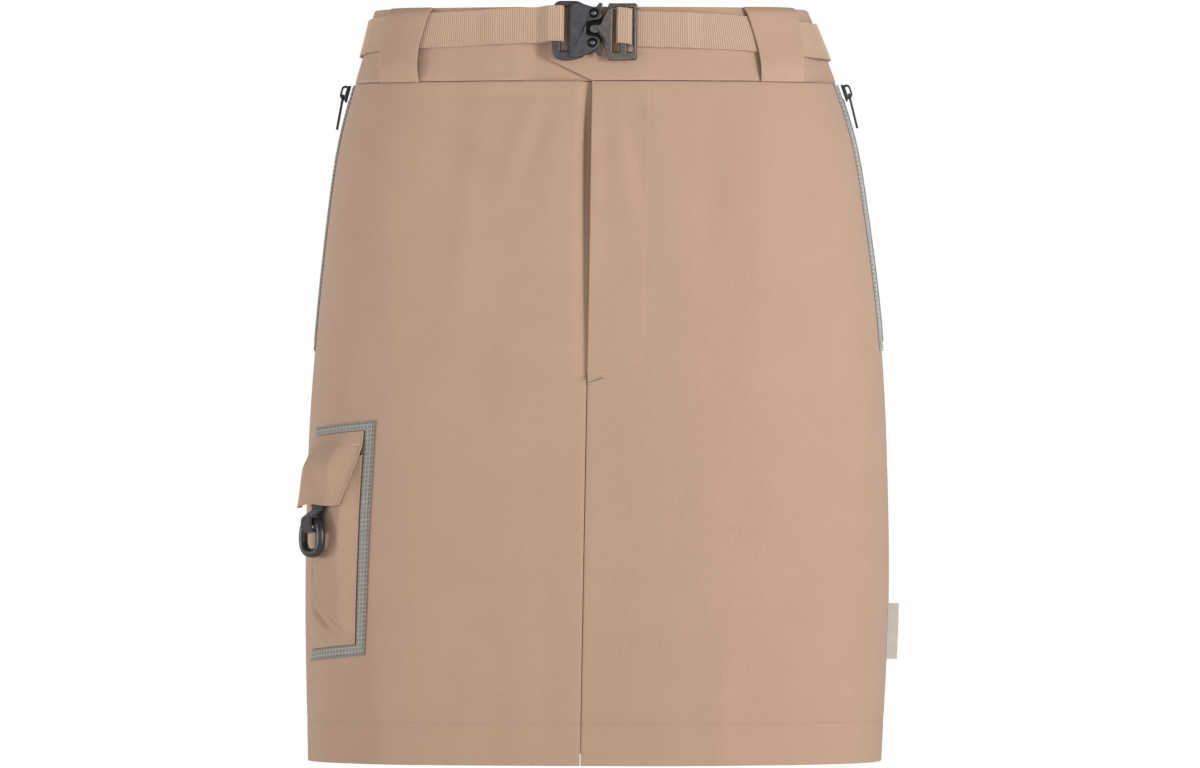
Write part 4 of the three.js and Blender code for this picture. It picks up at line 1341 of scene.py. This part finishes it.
def turn_outwards(obj):
    """Flips a sheet on the wearer's right whose columns run backwards round the cloth."""
    shape = bmesh.new()
    shape.from_mesh(obj.data)
    bmesh.ops.reverse_faces(shape, faces=shape.faces)
    shape.to_mesh(obj.data)
    shape.free()


# Creases of the pocket's cloth, by its own measures: across, down, how wide and long, how deep, the slant.
BAG_CREASES = table(
    "p q wide long depth slant",
    (46, 96, 2.8, 40, -3.2, 0.02),
    (34, 128, 2.6, 17, -3.6, -0.85),
    (26, 131, 2.4, 9, 2.2, -0.7),
    (22, 134, 2.2, 8, -2.6, -0.75),
    (18, 60, 5, 26, 1.0, 0.1),
    (29, 84, 6, 24, 0.9, -0.1),
    (14, 34, 3, 14, -1.1, 0.25),
    (40, 118, 4, 18, 1.2, -0.5),
    (52, 70, 2.5, 36, -1.2, 0),
    (20, 108, 7, 26, -0.7, 0.2),
)
FLAP_CREASES = table(
    "p q wide long depth slant",
    (24, 26, 6, 16, 0.8, 0.5),
    (38, 34, 5, 14, -0.8, -0.4),
    (50, 28, 4, 16, 0.8, 0.1),
    (30, 44, 9, 7, -0.7, 0.6),
    (17, 34, 4, 15, -0.5, 0.3),
    (44, 14, 6, 6, -0.5, 0.8),
)


def pocket_creases(rows, p, q):
    """How far the creases of a table push the pocket's cloth out."""
    depth = np.zeros(np.broadcast(p, q).shape)
    for row in rows:
        along = q - row["q"]
        aside = (p - row["p"] - row["slant"] * along) / row["wide"]
        depth += row["depth"] * np.exp(-aside * aside - (along / row["long"]) ** 2)
    return depth


def bag_face(u, q):
    """How far out the bag's cloth stands, across it from 0 to 1 and down it in millimetres."""
    side = smoothstep(u, 0, BAG["side"]) * (1 - smoothstep(u, 1 - BAG["side"], 1))
    foot = 1 - smoothstep(q, BAG["foot"] - BAG["base"], BAG["foot"])
    p = lerp(BAG["front"], BAG["back"], u)
    mouth = lerp(BAG["mouth_fill"], 1, smoothstep(q, BAG["mouth"], BAG["mouth"] + 50))
    seat = GAP + WALL
    full = seat + (BAG["depth"] - seat) * side * foot * mouth
    crumple = pocket_creases(BAG_CREASES, p, q) * side * foot
    return full + np.maximum(crumple, -4 * side * mouth)


def flap_face(u, v):
    """How far out the flap stands, across and down it from 0 to 1."""
    across = lerp(0.72, 1, smoothstep(u, 0, 0.3)) * lerp(1, 0.42, smoothstep(u, 0.7, 1))
    full = lerp(FLAP["edge_rise"], 0.5, smoothstep(u, 0, 0.35))
    return GAP + WALL + (FLAP["depth"] - GAP - WALL) * across * smoothstep(v, -0.12, full)


def flap_spot(u, v):
    """Where a point of the flap is by the pocket's own measures."""
    front = lerp(*FLAP["front"], np.maximum(0, (v - 0.2) / 0.8) ** 1.15)
    back = lerp(*FLAP["back"], v)
    wave = 0.9 * np.sin(u * 9 + 0.6) * smoothstep(v, 0.4, 1)
    return lerp(front, back, u), lerp(FLAP["top"], FLAP["foot"] - FLAP["fall"] * u, v) + wave


def make_pocket():
    def bag_place(u, q):
        return pocket(lerp(BAG["front"], BAG["back"], u), q, bag_face(u, q))

    rows = spaced(1.7, BAG["mouth"], BAG["foot"])[::-1]
    columns = spaced(0.024, 0, 1)
    bag = woven("pocket_bag_cloth", columns, rows, bag_place, lambda u, q: (-u * BAG["width"], -q))
    turn_outwards(bag)
    add_cloth(bag, (BAG["wall"], 0.45), POCKET_TWILL, "pocket_bag")

    def flap_place(u, v):
        p, q = flap_spot(u, v)
        edge = np.minimum(np.minimum(u, 1 - u), 1 - v) * BAG["width"]
        piped = 0.35 * np.exp(-((edge - 0.6) / 0.5) ** 2)
        return pocket(p, q, flap_face(u, v) + pocket_creases(FLAP_CREASES, p, q) + piped)

    def flap_lay(u, v):
        return -u * FLAP["width"], -v * FLAP["length"]

    near_edge = [0.955, 0.968, 0.98, 0.99, 1]
    columns = np.concatenate([[0, 0.01, 0.02, 0.032, 0.045], spaced(0.028, 0.06, 0.94), near_edge])
    flap_rows = np.concatenate([spaced(0.03, 0, 0.94), near_edge])[::-1]
    flap = woven("pocket_flap_cloth", columns, flap_rows, flap_place, flap_lay)
    turn_outwards(flap)
    add_cloth(flap, (WALL, 0.6), POCKET_TWILL, "pocket_flap")


RING_POINTS = 72


def make_ring():
    """A moulded ring that hangs upright, so it takes its directions from a level without the tilt."""
    q = np.array([float(RING["q"])])
    p = np.array([float(RING["p"])])
    angle, z = pocket_angle(p, q)
    plain = np.array([float(POCKET_TOP - RING["q"])])
    turned = angle_at_arc(plain, -pocket_edge(q) - p)
    middle = body(angle, z)[0] + cloth_axes(angle, z)[2][0] * RING["out"]
    place = frame_matrix([axis[0] for axis in cloth_axes(turned, plain)], middle)
    drawn = bpy.data.curves.new("ring", "CURVE")
    drawn.dimensions = "3D"
    spline = drawn.splines.new("POLY")
    spline.points.add(RING_POINTS - 1)
    power = 2 / RING["squareness"]
    for k, spot in enumerate(spline.points):
        turn = 2 * pi * k / RING_POINTS
        x = np.sign(cos(turn)) * abs(cos(turn)) ** power * RING["width"] / 2
        y = np.sign(sin(turn)) * abs(sin(turn)) ** power * RING["height"] / 2
        spot.co = (x * MM, y * MM, 0, 1)
    spline.use_cyclic_u = True
    drawn.bevel_depth = RING["bar"] / 2 * MM
    drawn.bevel_resolution = 5
    ring = as_mesh("moulded_ring", drawn)
    add_mesh("moulded_ring", ring, place, RING_PLASTIC, ["pocket_ring"], "ring")


def make_ring_strap():
    """A strap folded round the ring's upper bar, with both ends under the flap."""
    top = RING["q"] - RING["height"] / 2
    radius = RING["bar"] / 2 + RING_STRAP["slack"] + RING_STRAP["thick"] / 2
    end = top + RING_STRAP["drop"] + radius
    points = rounded_path(
        [
            (RING_STRAP["q"], RING_STRAP["low"], 0), (top - 4, RING["out"] - radius, 4),
            (end, RING["out"] - radius, radius - 0.02), (end, RING["out"] + radius, radius - 0.02),
            (top - 2, RING["out"] + radius, 2.5), (56, RING_STRAP["high"] + 0.2, 3),
            (RING_STRAP["q"], RING_STRAP["high"], 0),
        ],
        1.5,
        0.15,
    )
    path, out, length = evenly(points, 0.8)

    def place(i, b):
        i = i.astype(int)
        point = path[i] + out[i] * (RING_STRAP["thick"] / 2)
        wider = 1 + RING_STRAP["spread"] * (1 - smoothstep(point[:, 0], 50, top - 1))
        return pocket(RING["p"] + b * wider, point[:, 0], point[:, 1])

    def lay(i, b):
        return b, length[i.astype(int)]

    half = RING_STRAP["width"] / 2
    strap = woven("ring_strap_webbing", np.arange(len(path)), spaced(1, half, -half), place, lay)
    wall = (RING_STRAP["thick"], 0.3)
    add_cloth(strap, wall, STRAP, "pocket_ring_strap")


def make_label():
    """A label sewn into the left side seam, which stands out from it."""
    def place(z, r):
        angle = side_edge(1, z, 0)
        wave = 0.25 * np.sin((z - LABEL["foot"]) / 6.5)
        aside = LABEL["thick"] / 2 + wave * r / LABEL["reach"]
        return cloth(angle, z, r) + cloth_axes(angle, z)[0] * aside[:, None]

    columns, rows = spaced(1.5, LABEL["foot"], LABEL["top"]), spaced(0.8, GAP, LABEL["reach"])
    label = woven("blank_label", columns, rows, place, lambda z, r: (r, z))
    add_cloth(label, (LABEL["thick"], 0.2), LABEL_WEAVE, "side_label")


def stitch_shape():
    shape = bmesh.new()
    bmesh.ops.create_uvsphere(shape, u_segments=6, v_segments=5, radius=0.5)
    return new_mesh("stitch", shape)


STITCH = stitch_shape()


def stitches(line, kind):
    """The placings of the stitches along a line on the cloth: its points and the ways out of them."""
    points, outs = line
    length, gap, width, tall = kind
    lengths = lengths_to(points)
    middles = np.arange(length / 2, lengths[-1] - length / 2, length + gap)

    def read(values, at):
        return np.array([np.interp(at, lengths, values[:, side]) for side in range(3)])

    placings = []
    for middle in middles:
        away = Vector(read(outs, middle)).normalized()
        along = Vector(read(points, middle + length / 2) - read(points, middle - length / 2)).normalized()
        across = away.cross(along).normalized()
        axes = (across * (width * MM), away * (tall * MM), along * (length * MM))
        placings.append(frame_matrix(axes, read(points, middle)))
    return placings


def cloth_line(angles, levels, out):
    return cloth(angles, levels, out), cloth_axes(angles, levels)[2]


def pocket_line(p, q, out):
    p, q = np.broadcast_arrays(p, q)
    return pocket(p, q, out), pocket_out(p, q)


# The sewn end of the fly, from the waist down and round to the edge, as x and z.
FLY_STITCH = [
    (38.8, -27), (37.4, -120), (36.6, -170), (36.5, -198), (34.5, -206), (27, -211.5), (13, -216.5),
    (1.5, -219),
]
BAR_TACK = [(-0.6, -223.2), (10.4, -219.6)]
TACK_ROW = 0.75
# Each kind of stitch: its length, the gap to the next, its width and its height.
FLY_KIND = (2.1, 0.9, 0.55, 0.4)
TACK_KIND = (1.0, 0.0, 0.9, 1.0)
TACK_BED_KIND = (1.0, 0.0, 3.0, 0.5)
HEM_KIND = (2.2, 1.0, 0.42, 0.3)
POCKET_KIND = (1.9, 0.7, 0.4, 0.34)
FLAP_TACK_KIND = (0.9, 0.0, 1.5, 0.5)
SIDE_KIND = (2.1, 0.8, 0.4, 0.34)
# How far out of the cloth the pocket tape's stitches lie, and where its flap's tacks are.
POCKET_STITCH_OUT = 1.3
FLAP_TACKS = table("start end level", (9.5, 16, 15), (50, 56, 12.5))


def smooth_line(points, step=0.8):
    """A polyline with its corners eased, as arrays of x and z."""
    points = np.array(points, float)
    lengths = lengths_to(points)
    at = np.arange(0, lengths[-1], step)
    line = np.stack([np.interp(at, lengths, points[:, k]) for k in (0, 1)], -1)
    for _ in range(6):
        line[1:-1] = (line[:-2] + line[1:-1] * 2 + line[2:]) / 4
    return line[:, 0], line[:, 1]


def make_stitching():
    def add(name, placings, finish):
        add_mesh(name, repeated(name, STITCH, placings), Matrix(), finish)

    x, z = smooth_line(FLY_STITCH)
    add("fly_stitching", stitches(cloth_line(angle_at_x(z, x), z, -0.04), FLY_KIND), LIGHT_THREAD)
    x, z = smooth_line(BAR_TACK, 0.4)
    tack = []
    for row in (z - TACK_ROW, z + TACK_ROW):
        tack += stitches(cloth_line(angle_at_x(row, x), row, 0.35), TACK_KIND)
    add("fly_bar_tack", tack, PALE_THREAD)
    # Painted shade: a wide flat bed of dark thread under the tack's two raised rows stands for the shade
    # between and round them.
    shade_bed = stitches(cloth_line(angle_at_x(z, x), z, 0.05), TACK_BED_KIND)
    add("fly_bar_tack_shade_bed", shade_bed, TACK_SHADE_THREAD)

    angles = np.linspace(-pi, pi, 1200)
    levels = np.full(angles.shape, float(HEM_ROW))
    add("hem_stitching", stitches(cloth_line(angles, levels, -0.22), HEM_KIND), CLOTH_THREAD)

    rows = []
    down = np.linspace(1, POCKET_HEIGHT - 1, 200)
    for p in (1.3, FRAME_STRIP["front"] - 1.3):
        rows += stitches(pocket_line(p, down, POCKET_STITCH_OUT), POCKET_KIND)
    across = np.linspace(1, POCKET_WIDTH - 1, 100)
    foot = POCKET_HEIGHT - FRAME_STRIP["bottom"]
    for q in (1.2, FRAME_STRIP["top"] - 1.1, POCKET_HEIGHT - 1.2, foot + 1.2):
        rows += stitches(pocket_line(across, q, POCKET_STITCH_OUT), POCKET_KIND)
    add("pocket_tape_stitching", rows, GREY_THREAD)

    tacks = []
    for tack in FLAP_TACKS:
        p = np.linspace(tack["start"], tack["end"], 12)
        u, v = (p - 8) / 49, (tack["level"] - FLAP["top"]) / 48 + 0 * p
        q = flap_spot(u, v)[1]
        tacks += stitches(pocket_line(p, q, flap_face(u, v) + 0.3), FLAP_TACK_KIND)
    add("flap_bar_tacks", tacks, PALE_THREAD)

    sides = []
    z = np.linspace(SIDE_TAPE_END + 1, WAIST_SEAM - 2, 240)
    for sign in (1, -1):
        for t in (-0.465, 0.465, -0.12, 0.12):
            angles = angle_at_arc(z, sign * side_arc(z) + t * SIDE_TAPE_WIDTH)
            sides += stitches(cloth_line(angles, z, SIDE_TAPE_FACE + 0.1), SIDE_KIND)
    add("side_tape_stitching", sides, GREY_THREAD)


CAMERA_TURN = 3
CAMERA_DISTANCE = 7.0
CAMERA_LENS = 314.6
VIEW_MIDDLE = (0.002, 0, -0.224)


def set_camera():
    """A level view from far off, a little to the wearer's left, framed as the photograph is."""
    azimuth = radians(CAMERA_TURN)
    camera = bpy.data.cameras.new("camera")
    camera.sensor_width = 36
    camera.lens = CAMERA_LENS
    camera.clip_end = 60
    holder = bpy.data.objects.new("camera", camera)
    bpy.context.scene.collection.objects.link(holder)
    away = Vector((sin(azimuth) * CAMERA_DISTANCE, -cos(azimuth) * CAMERA_DISTANCE, 0))
    holder.location = Vector(VIEW_MIDDLE) + away
    holder.rotation_euler = (pi / 2, 0, azimuth)
    bpy.context.scene.camera = holder


SKY_HIGH = 0.22
SKY_LOW = 0.95
SOFTBOXES = table(
    "name spot size watts",
    ("key_softbox", (2.15, -2.15, 0.1), (0.6, 1.0), 49),
    ("fill_softbox", (-2.9, -0.55, -0.2), (0.9, 0.7), 24),
    ("strip_softbox", (0.6, -2.6, 1.5), (1.2, 0.25), 2),
)
LIGHT_AIM = (0, 0, -0.2)
FLOOR_LEVEL = -0.56
FLOOR_RADIUS = 2.0


def set_light():
    """A white wall all round, a pale floor side, a dim ceiling side and three softboxes."""
    scene = bpy.context.scene
    scene.view_settings.view_transform = "Standard"
    studio = Finish("studio", bpy.data.worlds, "Background")
    toward = studio.node("ShaderNodeTexCoord", {}, {}, "Generated")
    height = studio.node("ShaderNodeSeparateXYZ", {}, {0: toward}, "Z")
    wall = 1 - height.size().within(0.12, 0.3)
    ends = studio.mix(grey(SKY_LOW), grey(SKY_HIGH), height.within(-0.1, 0.1))
    scene.world = studio.set(Color=studio.mix(ends, grey(1), wall), Strength=1.0)
    for box in SOFTBOXES:
        lamp = bpy.data.lights.new(box["name"], "AREA")
        lamp.shape = "RECTANGLE"
        lamp.size, lamp.size_y = box["size"]
        lamp.energy = box["watts"]
        holder = bpy.data.objects.new(box["name"], lamp)
        scene.collection.objects.link(holder)
        holder.location = box["spot"]
        aim = Vector(LIGHT_AIM) - Vector(box["spot"])
        holder.rotation_euler = aim.to_track_quat("-Z", "Y").to_euler()


def set_floor():
    """A round pale floor that glows, the more towards its edge."""
    disc = bmesh.new()
    bmesh.ops.create_circle(disc, cap_ends=True, segments=96, radius=FLOOR_RADIUS)
    bmesh.ops.translate(disc, vec=(0, 0, FLOOR_LEVEL), verts=disc.verts)
    mesh = new_mesh("floor", disc)
    floor = bpy.data.objects.new("floor", mesh)
    bpy.context.scene.collection.objects.link(floor)
    finish = Finish("pale_floor")
    away = finish.node("ShaderNodeVectorMath", {"operation": "LENGTH"}, {0: finish.place()}, "Value")
    edge = away.within(0.9, FLOOR_RADIUS)
    cloud = finish.noise(900, 2.0)
    ground = finish.mix(grey(0.84), grey(0.88), cloud)
    # Painted light: the floor glows though it is no lamp, dimly in the middle and more at its edge.
    glow = finish.mix(grey(0.22), grey(0.6), edge)
    finish.set(Base_Color=ground, Roughness=0.9, Emission_Color=glow, Emission_Strength=1.0)
    mesh.materials.append(finish.material)


set_camera()
make_front_right()
make_front_left()
make_back()
make_waistbands()
make_belt_loops()
make_belt()
make_buckle()
make_side_zips()
make_pocket_frame()
make_pocket()
make_ring_strap()
make_ring()
make_label()
make_stitching()
set_light()
set_floor()

bpy.context.view_layer.update()
